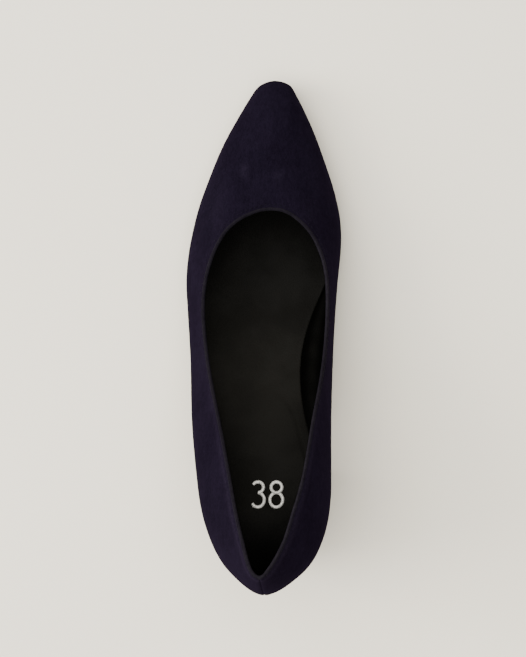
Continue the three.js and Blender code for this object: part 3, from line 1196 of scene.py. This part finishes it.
@dataclass
class Upper:
    """The suede upper with its folded topline, stitches, back seam and lining.

    Places up a rib run from 0 at the sole line over 1 at the side line to 2 at the topline.
    """

    last: Last
    finishes: Finishes
    columns_per_row: int = 16
    skin_steps: tuple[int, int] = (18, 44)
    crowding: float = 1.15
    tuck: float = 0.25
    facing_up: float = 0.05
    seam_rows: tuple[float, ...] = (0.011, 0.022, 0.034, 0.048, 0.09, 0.11, 0.155)
    seam_reach: float = 2.0
    seam_depth: float = 0.36
    seam_width: float = 0.3
    seam_swell: float = 0.09
    swell_place: float = 1.7
    swell_width: float = 0.9
    ripple_start: Pair = (0.0, 0.3)
    ripple_end: Pair = (1.8, 2.0)
    edge_crease: float = 0.14
    edge_crease_at: Pair = (1.94, 1.985)
    collar_swell: float = 0.32
    collar_place: float = 2.6
    collar_width: float = 1.9
    collar_fade: Pair = (-75.0, -15.0)
    collar_rub: float = 0.34
    fold_radius: float = 0.92
    fold_sink: float = 0.58
    fold_sides: int = 16
    fold_waver: float = 0.03
    fold_waves: Pair = (1.3, 0.57)
    fold_start: Pair = (0.0, 8.0)
    fold_rub_least: float = 0.12
    fold_rub_spots: float = 0.1
    fold_rub_waves: Pair = (0.9, 0.31)
    fold_rub_heel: float = 0.2
    fold_rub_fade: Pair = (-80.0, -20.0)
    # A painted highlight on the medial fold at the ball: its strength, place along the shoe and reach.
    fold_highlight: float = 0.3
    fold_highlight_place: float = 20.0
    fold_highlight_reach: float = 22.0
    stitch_drop: float = 2.6
    stitch_pitch: float = 2.5
    stitch_length: float = 1.8
    stitch_radius: float = 0.14
    stitch_sides: int = 6
    stitch_search: tuple[float, float, int] = (1.7, 2.0, 13)
    lining_steps: tuple[int, int] = (16, 40)
    lining_fold: float = 0.55
    lining_wave: Pair = (0.55, 0.06)
    waist_start: Pair = (3.5, 5.0)
    waist_end: Pair = (7.5, 9.5)
    # The lining's painted highlight: where its band rises and falls, and how faint it is between folds.
    lining_highlight_start: Pair = (0.2, 0.42)
    lining_highlight_end: Pair = (0.42, 0.6)
    lining_highlight_least: float = 0.75
    brushed_above: float = 12.0
    # The place along a stitch, its share of the radius, and how far its middle is lifted.
    stitch_profile: tuple[tuple[float, float, float], ...] = (
        (0.0, 0.25, -0.2),
        (0.12, 0.85, 0.0),
        (0.5, 1.0, 0.08),
        (0.88, 0.85, 0.0),
        (1.0, 0.25, -0.2),
    )
    ripples: tuple[Ripple, ...] = (
        Ripple(height=0.06, waves=((0.0, 0.11, 0.07, 0.8), (0.13, 0.0, -0.05, 0.3))),
        Ripple(height=0.03, waves=((-0.22, 0.31, 0.0, 1.7), (0.19, 0.0, 0.27, 0.0))),
    )
    brushed: tuple[Brushed, ...] = (
        Brushed(middle=(-9.4, 80.8), reach=(2.2, 3.4), strength=0.34),
        Brushed(middle=(7.8, 77.5), reach=(2.6, 2.4), strength=0.3),
        Brushed(middle=(-24.0, 62.0), reach=(5.0, 12.0), strength=0.12),
        Brushed(middle=(24.0, 58.0), reach=(4.0, 10.0), strength=0.1),
    )
    troughs: tuple[Trough, ...] = (
        Trough(start=(-38.0, 46.0), end=(-24.0, 66.0), depth=0.22, width=3.0),
        Trough(start=(-35.0, 34.0), end=(-29.0, 47.0), depth=0.16, width=2.4),
        Trough(start=(36.0, 52.0), end=(24.0, 68.0), depth=0.22, width=3.0),
        Trough(start=(37.0, 38.0), end=(33.0, 50.0), depth=0.16, width=2.4),
        Trough(start=(-10.0, 78.0), end=(14.0, 76.0), depth=0.14, width=4.0),
    )

    def __post_init__(self) -> None:
        """Picks the places round the shoe at which the pieces are cut, close together at the back seam."""
        even = np.arange(ROWS_AROUND * self.columns_per_row) / self.columns_per_row
        fine = np.array(self.seam_rows)
        self.rows = np.unique(np.concatenate([even, fine, ROWS_AROUND - fine]))

    def seam_push(self, points: Array) -> Array:
        """Gives how far the back seam and its swollen edges move the skin.

        Args:
            points: The skin's points, rows by places up the rib by 3.

        Returns:
            One distance outward for each point.
        """
        from_back = np.minimum(self.rows, ROWS_AROUND - self.rows)[:, None]
        sideways = np.abs(points[..., 0] - points[:1, :, 0])
        groove = self.seam_depth * hump(sideways, self.seam_width)
        swell = self.seam_swell * hump(sideways - self.swell_place, self.swell_width)
        return (swell - groove) * (from_back < self.seam_reach)

    def collar(self, points: Array) -> Array:
        """Gives how far each point takes part in the padded collar, which runs round the heel.

        Args:
            points: The skin's points, rows by places up the rib by 3.

        Returns:
            One share for each point, from 0 to 1.
        """
        under = np.linalg.norm(points - points[:, -1:], axis=-1)
        behind = 1.0 - smooth(*self.collar_fade, points[..., 1])
        return hump(under - self.collar_place, self.collar_width) * behind

    def brushed_tone(self, points: Array) -> Array:
        """Gives the paler tone of the brushed patches, on the top side only."""
        tones = [patch.tone(points) for patch in self.brushed]
        return np.max(tones, axis=0) * (points[..., 2] > self.brushed_above)

    def skin(self) -> None:
        """Builds the outside, with its seam, its creases and the edge tucked under at the sole."""
        below, above = (even_steps(steps + 1) for steps in self.skin_steps)
        along = np.concatenate([below, 2.0 - (1.0 - above[1:]) ** self.crowding])
        points, normals = self.last.ribs(self.rows, along), self.last.normals(self.rows, along)
        collar = self.collar(points)
        push = sum(ripple.push(points) for ripple in self.ripples)
        push = push * band(along, self.ripple_start, self.ripple_end) + self.seam_push(points)
        push += self.collar_swell * collar - self.edge_crease * smooth(*self.edge_crease_at, along)
        for trough in self.troughs:
            push -= trough.press(points) * (normals[..., 2] > self.facing_up)
        points = points + push[..., None] * normals
        down = self.tuck * UP
        under = self.last.wall_face(self.rows, np.array([0.0]), self.last.wall - self.last.gap) - down
        maker = MeshMaker()
        maker.grid(np.concatenate([under, points[:, :1] - down, points], axis=1), closed_rows=True)
        rubbed = self.collar_rub * np.pad(collar, ((0, 0), (2, 0))).ravel()
        dress(
            maker,
            "upper_suede",
            self.finishes.suede,
            Slot.SUEDE,
            "upper",
            rub=lambda places: np.maximum(self.brushed_tone(places), rubbed),
        )

    def fold(self) -> None:
        """Builds the folded edge that runs round the opening."""
        at = np.array([2.0])
        outside = self.last.ribs(self.rows, at)[:, 0]
        inside = self.last.wall_face(self.rows, at, self.last.wall)[:, 0]
        out = unit(outside - inside)
        up = unit(np.cross(np.roll(outside, -1, 0) - np.roll(outside, 1, 0), out))
        run = lengths_along(outside)
        waver = sum(np.sin(wave * run + start) for start, wave in enumerate(self.fold_waves))
        waver = self.fold_waver * waver * smooth(*self.fold_start, run)
        middle = (outside + inside) / 2.0 - (self.fold_sink - waver)[:, None] * up
        turn = (FULL_TURN * np.arange(self.fold_sides) / self.fold_sides)[:, None]
        ring = out[:, None] * np.cos(turn) + up[:, None] * np.sin(turn)
        maker = MeshMaker()
        maker.grid(middle[:, None] + self.fold_radius * ring, closed_rows=True, closed_columns=True)
        dress(maker, "topline_fold", self.finishes.fold, Slot.SUEDE, rub=self.fold_rub_and_highlight)

    def fold_rub_and_highlight(self, points: Array) -> Array:
        """Gives how pale the folded edge is: rubbed most at the heel, unevenly, and a painted highlight on
        the medial side at the ball.

        Args:
            points: The fold's points, n by 3.

        Returns:
            One share for each point.
        """
        x, y = points[:, 0], points[:, 1]
        spots = np.prod([np.sin(wave * y) for wave in self.fold_rub_waves], axis=0)
        heel = 1.0 - smooth(*self.fold_rub_fade, y)
        # A painted highlight on the medial fold near the ball.
        bend = hump(y - self.fold_highlight_place, self.fold_highlight_reach) * (x > 0.0)
        rub = self.fold_rub_least + self.fold_rub_spots * spots
        return rub + self.fold_rub_heel * heel + self.fold_highlight * bend

    def stitch_line(self) -> tuple[Array, Array]:
        """Gives the line that the stitches follow, at a distance under the topline.

        Returns:
            The line's points and the skin's outward directions there.
        """
        along = np.linspace(*self.stitch_search)
        near = self.last.ribs(self.rows, along)[:, ::-1]
        facing = self.last.normals(self.rows, along)[:, ::-1]
        line = [read(lengths_along(rib), rib, self.stitch_drop) for rib in near]
        way = [read(lengths_along(rib), turned, self.stitch_drop) for rib, turned in zip(near, facing)]
        return np.array(line), unit(np.array(way))

    def stitches(self) -> None:
        """Builds the row of stitches under the folded edge, one small capsule each."""
        line, facing = (np.vstack([part, part[:1]]) for part in self.stitch_line())
        run = lengths_along(line)
        count = int(run[-1] / self.stitch_pitch)
        half = self.stitch_length / 2.0
        maker = MeshMaker()
        for centre in (np.arange(count) + 0.5) * run[-1] / count:
            a, b = (read(run, line, centre + way) for way in (-half, half))
            maker.tube(self.capsule(a, b, unit(read(run, facing, centre))))
        dress(maker, "topline_stitches", self.finishes.thread, Slot.SUEDE)

    def capsule(self, a: Array, b: Array, normal: Array) -> Array:
        """Gives the rings of one stitch, sunk into the suede at both ends.

        Args:
            a: Where it goes in.
            b: Where it comes out.
            normal: The skin's outward direction.

        Returns:
            The rings.
        """
        places, thick, lifted = np.array(self.stitch_profile).T[..., None]
        turn = (FULL_TURN * np.arange(self.stitch_sides) / self.stitch_sides)[:, None]
        ring = np.cos(turn) * np.cross(normal, unit(b - a)) + np.sin(turn) * normal
        middle = a + places * (b - a) + lifted * normal
        return middle[:, None] + self.stitch_radius * thick[..., None] * ring

    def lining(self) -> None:
        """Builds the lining, loose enough at the medial waist to show soft folds, with a painted highlight
        in a band.
        """
        low, high = (even_steps(steps) for steps in self.lining_steps)
        along = np.concatenate([low, 1.0 + high[1:]])
        points = self.last.wall_face(self.rows, along, self.last.wall)
        waist = band(ROWS_AROUND - self.rows, self.waist_start, self.waist_end)[:, None]
        folds = 0.5 + 0.5 * np.sin(points[..., 1:] @ np.array(self.lining_wave))
        push = self.lining_fold * waist * folds * np.sin(math.pi * along / 2.0)
        maker = MeshMaker()
        inward = push[..., None] * self.last.normals(self.rows, along)
        maker.grid((points - inward)[:, ::-1], closed_rows=True)
        # A painted highlight in a lengthwise band, brighter on the folds, with painted shade by the sock and
        # under the topline.
        worn = self.lining_highlight_least + (1.0 - self.lining_highlight_least) * folds
        worn = worn * band(along, self.lining_highlight_start, self.lining_highlight_end)
        worn = worn[:, ::-1].ravel()
        dress(maker, "lining", self.finishes.lining, Slot.SOCK, worn=lambda places: worn)

    def build(self) -> None:
        """Builds every piece of the upper."""
        for part in (self.skin, self.fold, self.stitches, self.lining):
            part()


@dataclass(frozen=True)
class Stroke:
    """One arc of a figure: its middle, its radii and its two ends in degrees, in millimetres."""

    middle: Pair
    radii: Pair
    start: float
    end: float


@dataclass
class Sock:
    """The padded sock on the insole, with its printed size."""

    last: Last
    finishes: Finishes
    rows_per_rib: int = 14
    across: int = 72
    end_gap: float = 0.02
    crowding: float = 0.9
    clearance: float = 0.12
    edge_round: float = 1.1
    side_slope: float = 0.03
    foot_gap: float = 0.4
    cup_rise: float = 0.7
    cup_reach: float = 4.0
    heel_pad_front: float = -29.0
    heel_pad_inset: float = 5.5
    heel_pad_rise: float = 0.45
    heel_pad_edge: Pair = (-0.6, 1.6)
    seam_depth: float = 0.12
    seam_place: float = 0.7
    seam_width: float = 0.5
    ball_pad_back: float = 18.5
    ball_pad_rise: float = 0.35
    ball_pad_edge: Pair = (-1.2, 1.2)
    ball_pad_bow: float = 0.004
    # How the sock's painted light and shade fall, partly wear: darker at the back of the heel cup and
    # towards the throat, paler at the waist, darker on the medial side.
    heel_tone: float = 0.5
    toe_tone: float = 0.21
    heel_fade: Pair = (-118.0, -80.0)
    toe_fade: Pair = (-10.0, 45.0)
    waist_tone: float = 0.5
    waist_middle: float = -24.0
    waist_reach: float = 22.0
    medial_share: float = 0.7
    lateral_share: float = 1.15
    size_middle: Pair = (3.6, -82.0)
    stroke_width: float = 1.5
    stroke_steps: int = 49
    foil: float = 0.07
    foil_sink: float = 0.05
    size_strokes: tuple[Stroke, ...] = (
        Stroke(middle=(-4.6, 3.1), radii=(2.7, 2.6), start=150.0, end=-90.0),
        Stroke(middle=(-4.6, -3.0), radii=(3.2, 3.5), start=90.0, end=-150.0),
        Stroke(middle=(4.6, 3.1), radii=(2.7, 2.6), start=0.0, end=360.0),
        Stroke(middle=(4.6, -3.0), radii=(3.2, 3.5), start=0.0, end=360.0),
    )

    def __post_init__(self) -> None:
        """Finds the sock's top edge on the lateral and the medial side, row for row."""
        rows = np.linspace(self.end_gap, TIP_ROW - self.end_gap, TIP_ROW * self.rows_per_rib + 1)
        self.lateral = self.last.insole_edge(rows, self.last.insole, self.clearance)
        self.medial = self.last.insole_edge(ROWS_AROUND - rows, self.last.insole, self.clearance)

    def edges_at(self, y: Array) -> tuple[Array, ...]:
        """Gives the lateral and the medial edge at places along the shoe."""
        order = np.argsort(self.lateral[:, 1])
        return tuple(read(self.lateral[order, 1], edge[order], y) for edge in (self.lateral, self.medial))

    def pads(self, x: Array, y: Array, inset: Array) -> Array:
        """Gives how far the pads stand up.

        Args:
            x: Each point's distance sideways from the sock's middle.
            y: Each point's place along the shoe.
            inset: Each point's distance from the sock's edge.

        Returns:
            The height of the pads and of the pressed line round the heel pad.
        """
        half = np.abs(x) + inset - self.heel_pad_inset
        behind = self.heel_pad_front - y
        arch = half * np.sqrt(np.clip(1.0 - (1.0 - behind / half) ** 2, 0.0, 1.0))
        room = np.where(behind < half, arch, half) - np.abs(x)
        room = np.where(behind < 0.0, behind, room)
        heel = self.heel_pad_rise * smooth(*self.heel_pad_edge, room)
        pressed = self.seam_depth * hump(room + self.seam_place, self.seam_width)
        ball = smooth(*self.ball_pad_edge, y - self.ball_pad_back - self.ball_pad_bow * x * x)
        return heel - pressed + self.ball_pad_rise * ball

    def surface(self, lateral: Array, medial: Array, share: Array) -> Array:
        """Gives points of the sock's top.

        Args:
            lateral: The lateral edge, n by 3.
            medial: The medial edge, n by 3.
            share: How far across each point lies, from 0 to 1, n or 1 by m.

        Returns:
            The points, n by m by 3.
        """
        t = share[..., None]
        points = lateral[:, None] * (1.0 - t) + medial[:, None] * t
        width = np.linalg.norm(medial - lateral, axis=1)[:, None]
        inset = np.minimum(share, 1.0 - share) * width
        outer = np.clip(1.0 - inset / self.edge_round, 0.0, 1.0)
        drop = self.edge_round * (1.0 - np.sqrt(1.0 - outer**2))
        cup = self.cup_rise * np.exp(-inset / self.cup_reach)
        points[..., 2] += self.pads((share - 0.5) * width, points[..., 1], inset) + cup - drop
        return points

    def wear_and_painted_shade(self, points: Array) -> Array:
        """Gives each point's share of the paler tone, partly wear and mostly painted light and shade: most
        at the waist, least at the back.

        Args:
            points: The sock's points, n by 3.

        Returns:
            One share for each point, from 0 to 1.
        """
        y = points[:, 1]
        lateral, medial = (edge[:, 0] for edge in self.edges_at(y))
        outward = (medial - points[:, 0]) / (medial - lateral)
        # Painted shade: darker on the medial side, deep in the heel cup and towards the throat; paler at the
        # waist.
        across = self.medial_share + (self.lateral_share - self.medial_share) * outward
        fading = self.heel_tone + (self.toe_tone - self.heel_tone) * smooth(*self.toe_fade, y)
        waist = self.waist_tone * hump(y - self.waist_middle, self.waist_reach)
        return across * (fading * smooth(*self.heel_fade, y) + waist)

    def body(self) -> None:
        """Builds the sock with its sides and its underside."""
        t = even_steps(self.across + 1)
        crowded = t - self.crowding * np.sin(FULL_TURN * t) / FULL_TURN
        top = self.surface(self.lateral, self.medial, crowded[None, :])
        edges = (top[:, :1], top[:, -1:])
        middle = (edges[0] + edges[1]) / 2.0
        down = (self.last.insole - self.foot_gap) * UP
        lateral, medial = (edge + self.side_slope * (middle - edge) * LEVEL - down for edge in edges)
        maker = MeshMaker()
        maker.tube(np.concatenate([lateral, top, medial], axis=1)[::-1])
        # The stored share paints light and shade on the sock, partly wear.
        dress(maker, "sock", self.finishes.sock, Slot.SOCK, "insole", worn=self.wear_and_painted_shade)

    def drape(self, places: Array, lift: float) -> Array:
        """Lays flat places onto the sock's top.

        Args:
            places: The places in plan, n by 2.
            lift: How far above the sock.

        Returns:
            The points, n by 3.
        """
        low, high = self.edges_at(places[:, 1])
        share = (places[:, 0] - low[:, 0]) / (high[:, 0] - low[:, 0])
        height = self.surface(low, high, share[:, None])[:, 0, 2]
        return np.column_stack([places, height + lift])

    def size_print(self) -> None:
        """Builds the size, two figures of pressed foil on the heel pad."""
        maker = MeshMaker()
        half = self.stroke_width / 2.0
        section = ((-half, -self.foil_sink), (-half, self.foil), (half, self.foil), (half, -self.foil_sink))
        for stroke in self.size_strokes:
            whole = stroke.end - stroke.start >= 360.0
            angles = np.radians(np.linspace(stroke.start, stroke.end, self.stroke_steps, endpoint=not whole))
            ring = np.column_stack([np.cos(angles), np.sin(angles)])
            levels = []
            for radius, lift in section:
                places = ring * (np.array(stroke.radii) + radius) + stroke.middle + self.size_middle
                levels.append(self.drape(places, lift))
            points = np.stack(levels, axis=1)
            maker.grid(points if stroke.end > stroke.start else points[:, ::-1], closed_rows=whole)
        dress(maker, "size_print", self.finishes.foil, Slot.SOCK)

    def build(self) -> None:
        """Builds the sock and its print."""
        self.body()
        self.size_print()


@dataclass
class Outsole:
    """The black outsole, from the toe to the heel's breast, with a ribbed tread under the ball."""

    last: Last
    finishes: Finishes
    breast: float
    rows: int = 300
    across: int = 96
    top_steps: int = 9
    tip_gap: float = 0.002
    margin: float = 0.8
    bevel: float = 0.35
    edge: float = 1.0
    edge_steps: int = 6
    tread_inset: float = 7.0
    tread_span: Pair = (-6.0, 104.0)
    tread_side: Pair = (-0.3, 0.3)
    tread_end: Pair = (-0.4, 0.4)
    rib_pitch: float = 2.6
    rib_depth: float = 0.35
    rib_crest: Pair = (0.35, 0.85)
    rib_wave: float = 1.6
    rib_turn: float = 0.35
    rim_depth: float = 0.4
    rim_width: float = 0.35
    rim_place: float = 0.9
    rim_overrun: float = 1.2

    def tread(self, points: Array, inset: Array) -> Array:
        """Gives how far grooves are cut up into the underside.

        Args:
            points: The underside's points.
            inset: Each point's distance from the outsole's edge.

        Returns:
            One depth for each point.
        """
        x, y = points[..., 0], points[..., 1]
        room = inset - self.tread_inset
        ends = np.minimum(y - self.tread_span[0], self.tread_span[1] - y)
        wave = np.cos(FULL_TURN * (y + self.rib_wave * np.cos(self.rib_turn * x)) / self.rib_pitch)
        ribs = self.rib_depth * smooth(*self.rib_crest, wave)
        ribs = ribs * smooth(*self.tread_side, room) * smooth(*self.tread_end, ends)
        rim = self.rim_depth * hump(room + self.rim_place, self.rim_width)
        return np.maximum(ribs, rim * smooth(*self.tread_end, ends + self.rim_overrun))

    def side(self, rows: Array) -> Array:
        """Gives one side's points, from the top over the edge to the underside.

        Args:
            rows: Places round the shoe, from the breast to the toe tip.

        Returns:
            The points, rows by places down the edge by 3.
        """
        base = self.last.sole_line(rows)
        out = self.margin * smooth(self.breast, 0.0, base[:, 1])
        top = self.last.moved_out(base, rows, out) - self.last.gap * UP
        ring = [self.last.moved_out(top, rows, -self.bevel), top - self.bevel * UP]
        for angle in np.radians(np.linspace(0.0, 90.0, self.edge_steps)):
            down = self.last.outsole - self.edge + self.edge * math.sin(angle)
            ring.append(self.last.moved_out(top, rows, -self.edge * (1.0 - math.cos(angle))) - down * UP)
        return np.stack(ring, axis=1)

    def build(self) -> None:
        """Builds the outsole."""
        start = float(self.last.row_at(np.array([self.breast + self.last.gap]))[0])
        rows = np.linspace(start, TIP_ROW - self.tip_gap, self.rows + 1)
        lateral, medial = self.side(rows), self.side(ROWS_AROUND - rows)
        share = even_steps(self.across + 1)[None, 1:-1]
        bottom = lateral[:, -1:] * (1.0 - share[..., None]) + medial[:, -1:] * share[..., None]
        width = np.linalg.norm(medial[:, -1] - lateral[:, -1], axis=1)[:, None]
        bottom[..., 2] += self.tread(bottom, np.minimum(share, 1.0 - share) * width)
        few = even_steps(self.top_steps)[None, 1:-1, None]
        top = medial[:, :1] * (1.0 - few) + lateral[:, :1] * few
        maker = MeshMaker()
        maker.tube(np.concatenate([lateral, bottom, medial[:, ::-1], top], axis=1)[::-1])
        dress(maker, "outsole_skin", self.finishes.sole, Slot.SOLE, "outsole")


@dataclass
class BlockHeel:
    """The suede-covered block heel and the rubber top piece under it."""

    last: Last
    finishes: Finishes
    seat_length: float = 58.7
    foot_length: float = 48.5
    foot_width: float = 50.0
    top_piece: float = 5.5
    set_back: float = 7.0
    breast_hollow: float = 2.2
    side_hollow: float = 0.9
    margin: float = 0.4
    corner: float = 1.6
    seat_steps: int = 400
    breast_steps: int = 121
    around: int = 260
    levels: int = 40
    rub_share: float = 0.12
    rub_height: float = 6.0
    cover_span: Pair = (0.012, 0.985)
    # How far down each level of the cover's ends lies, from 0 to 1, and how far it is drawn in.
    cover_top: tuple[Pair, ...] = ((0.0, 6.0), (0.0, 0.7))
    cover_foot: tuple[Pair, ...] = ((0.995, 0.2), (1.0, 0.7), (1.0, 5.0))
    # How far under its top each level of the top piece lies, and how far it is drawn in.
    top_piece_section: tuple[Pair, ...] = (
        (0.0, 0.8),
        (0.0, 0.25),
        (0.35, 0.0),
        (1.7, 0.0),
        (1.95, 0.22),
        (2.2, 0.0),
        (4.9, 0.0),
        (5.25, 0.08),
        (5.5, 0.35),
        (5.5, 6.0),
    )

    def __post_init__(self) -> None:
        """Finds the breast's place at its top and the outline there."""
        self.breast = float(self.last.plan("sole", np.array([0.0]))[0, 1]) + self.seat_length
        self.plan, self.hollow = self.outline()

    def outline(self) -> tuple[Array, Array]:
        """Gives the heel's outline at its top, with its corners rounded.

        Returns:
            The outline's points in plan, and how far each takes part in the breast's hollow.
        """
        end = float(self.last.row_at(np.array([self.breast]))[0])
        rows = np.linspace(-end, end, self.seat_steps)
        seat = self.last.moved_out(self.last.sole_line(rows), rows, self.margin)[:, :2]
        seat[:, 1] = np.minimum(seat[:, 1], self.breast)
        share = even_steps(self.breast_steps)[:, None]
        breast = np.hstack([seat[-1] * (1.0 - share) + seat[0] * share, np.sin(math.pi * share)])
        closed = np.vstack([np.hstack([seat, np.zeros((len(seat), 1))]), breast[1:]])
        run = lengths_along(closed[:, :2])
        even = read(run, closed, np.linspace(0.0, run[-1], self.around, endpoint=False))
        spacing = run[-1] / self.around
        reach = int(3 * self.corner / spacing) + 1
        shifts = range(-reach, reach + 1)
        weights = hump(np.array(shifts) * spacing, self.corner)
        rounded = sum(w * np.roll(even[:, :2], k, axis=0) for w, k in zip(weights / weights.sum(), shifts))
        return rounded, even[:, 2]

    def ring(self, down: float, shrink: float) -> Array:
        """Gives one level of the heel.

        Args:
            down: 0 under the seat, 1 at the foot.
            shrink: How far the level is drawn in, in millimetres.

        Returns:
            The level's points.
        """
        low, high = self.plan.min(axis=0), self.plan.max(axis=0)
        size, middle = high - low, (high[0] + low[0]) / 2.0
        bend = math.sin(math.pi * down)
        narrow = size[0] + (self.foot_width - size[0]) * down - 2.0 * self.side_hollow * bend - 2.0 * shrink
        short = size[1] + (self.foot_length - size[1]) * down - self.side_hollow * bend - 2.0 * shrink
        breast = self.breast - self.set_back * down - self.breast_hollow * bend * self.hollow - shrink
        x = middle + (self.plan[:, 0] - middle) * narrow / size[0]
        y = breast - (high[1] - self.plan[:, 1]) * short / size[1]
        seat = self.last.sole_height(self.plan[:, 1]) - self.last.gap
        foot = self.top_piece + self.last.gap
        return np.column_stack([x, y, seat + (foot - seat) * down])

    def rub(self, points: Array) -> Array:
        """Gives how pale the cover is rubbed, just above the top piece."""
        above = points[:, 2] - self.top_piece
        return self.rub_share * (1.0 - smooth(0.0, self.rub_height, above))

    def cover(self) -> None:
        """Builds the suede cover, folded in at its foot and at the seat."""
        sides = [(down, 0.0) for down in np.linspace(*self.cover_span, self.levels)]
        rings = [self.ring(*level) for level in (*self.cover_top, *sides, *self.cover_foot)]
        maker = MeshMaker()
        maker.tube(np.stack(rings)[::-1])
        dress(maker, "heel_cover", self.finishes.suede, Slot.SUEDE, "heel", rub=self.rub)

    def lift(self) -> None:
        """Builds the rubber top piece, with softened edges and a moulded groove round its side."""
        rings = []
        for depth, shrink in self.top_piece_section:
            level = self.ring(1.0, shrink)
            level[:, 2] = self.top_piece - depth
            rings.append(level)
        maker = MeshMaker()
        maker.tube(np.stack(rings)[::-1])
        dress(maker, "top_piece_rubber", self.finishes.rubber, Slot.RUBBER, "top_piece")

    def build(self) -> None:
        """Builds the cover and the top piece."""
        self.cover()
        self.lift()


@dataclass(frozen=True)
class Lamp:
    """One square soft light, in metres and watts."""

    name: str
    place: Place
    size: float
    power: float


@dataclass
class Studio:
    """The floor, the lights and the camera, placed as for the photograph, in metres."""

    finishes: Finishes
    camera_place: Place = (0.0537, 0.0009, 1.0)
    target: Place = (0.0005, 0.0, 0.04)
    lens: float = 104.0
    sensor: float = 36.0
    floor_size: float = 6.0
    lamps: tuple[Lamp, ...] = (
        Lamp(name="key_light", place=(-1.5, 0.0, 0.95), size=1.0, power=33.0),
        Lamp(name="top_light", place=(-0.35, 0.1, 1.9), size=2.4, power=78.0),
    )
    lamp_colour: tuple[float, float, float] = (1.0, 0.975, 0.925)
    room_colour: Colour = (1.0, 0.985, 0.955, 1.0)
    room_side: Place = (-0.65, -0.1, 0.75)
    room_span: Pair = (-0.6, 1.0)
    room_light: Pair = (0.1, 1.15)
    horizon_light: Pair = (1.1, 0.3)
    horizon_height: float = 4.0

    def floor(self) -> None:
        """Lays the floor."""
        half = self.floor_size / 2.0 / MM
        corners = [[[-half, half, 0.0], [half, half, 0.0]], [[-half, -half, 0.0], [half, -half, 0.0]]]
        maker = MeshMaker()
        maker.grid(np.array(corners))
        made = maker.make("floor")
        made.data.materials.append(self.finishes.floor)

    def hang(self, lamp: Lamp) -> None:
        """Hangs a square soft light that faces the shoe.

        Args:
            lamp: The light.
        """
        data = bpy.data.lights.new(lamp.name, "AREA")
        data.shape = "SQUARE"
        data.size = lamp.size
        data.energy = lamp.power
        data.color = self.lamp_colour
        made = put(lamp.name, data)
        made.location = lamp.place
        made.rotation_euler = (Vector(self.target) - Vector(lamp.place)).to_track_quat("-Z", "Y").to_euler()

    def world(self) -> None:
        """Sets the room's own light: bright overhead, to the left and at the horizon, dim to the right."""
        made = bpy.data.worlds.new("room")
        made.use_nodes = True
        sheet = NodeSheet(made.node_tree)
        background = made.node_tree.nodes["Background"]
        background.inputs["Color"].default_value = self.room_colour
        way = sheet.node("ShaderNodeTexCoord").outputs["Generated"]
        towards = sheet.node("ShaderNodeVectorMath", operation="DOT_PRODUCT")
        sheet.feed(towards.inputs[0], way)
        sheet.feed(towards.inputs[1], self.room_side)
        overhead = sheet.span(towards.outputs["Value"], self.room_span, self.room_light)
        parts = sheet.node("ShaderNodeSeparateXYZ")
        sheet.feed(parts.inputs[0], way)
        level = sheet.math("SUBTRACT", 1.0, sheet.math("ABSOLUTE", parts.outputs["Z"]))
        glow = sheet.math("POWER", level, self.horizon_height)
        glow = sheet.math("MULTIPLY", glow, sheet.span(parts.outputs["X"], (-1.0, 1.0), self.horizon_light))
        sheet.feed(background.inputs["Strength"], sheet.math("ADD", overhead, glow))
        bpy.context.scene.world = made

    def camera(self) -> None:
        """Places the camera above the shoe, with the toe towards the top of the picture."""
        data = bpy.data.cameras.new("camera")
        data.lens = self.lens
        data.sensor_width = self.sensor
        made = put("camera", data)
        back = (Vector(self.camera_place) - Vector(self.target)).normalized()
        right = Vector((0.0, 1.0, 0.0)).cross(back).normalized()
        turned = Matrix((right, back.cross(right), back)).transposed().to_4x4()
        made.matrix_world = Matrix.Translation(Vector(self.camera_place)) @ turned
        bpy.context.scene.camera = made

    def build(self) -> None:
        """Builds the studio."""
        self.floor()
        for lamp in self.lamps:
            self.hang(lamp)
        self.world()
        self.camera()


def main() -> None:
    """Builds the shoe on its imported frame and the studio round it."""
    logging.basicConfig(level=logging.INFO, format="%(name)s: %(message)s")
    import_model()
    finishes = Finishes()
    last = Last()
    heel = BlockHeel(last, finishes)
    outsole = Outsole(last, finishes, breast=heel.breast)
    for part in (Upper(last, finishes), Sock(last, finishes), heel, outsole, Studio(finishes)):
        part.build()


if __name__ == "__main__":
    main()
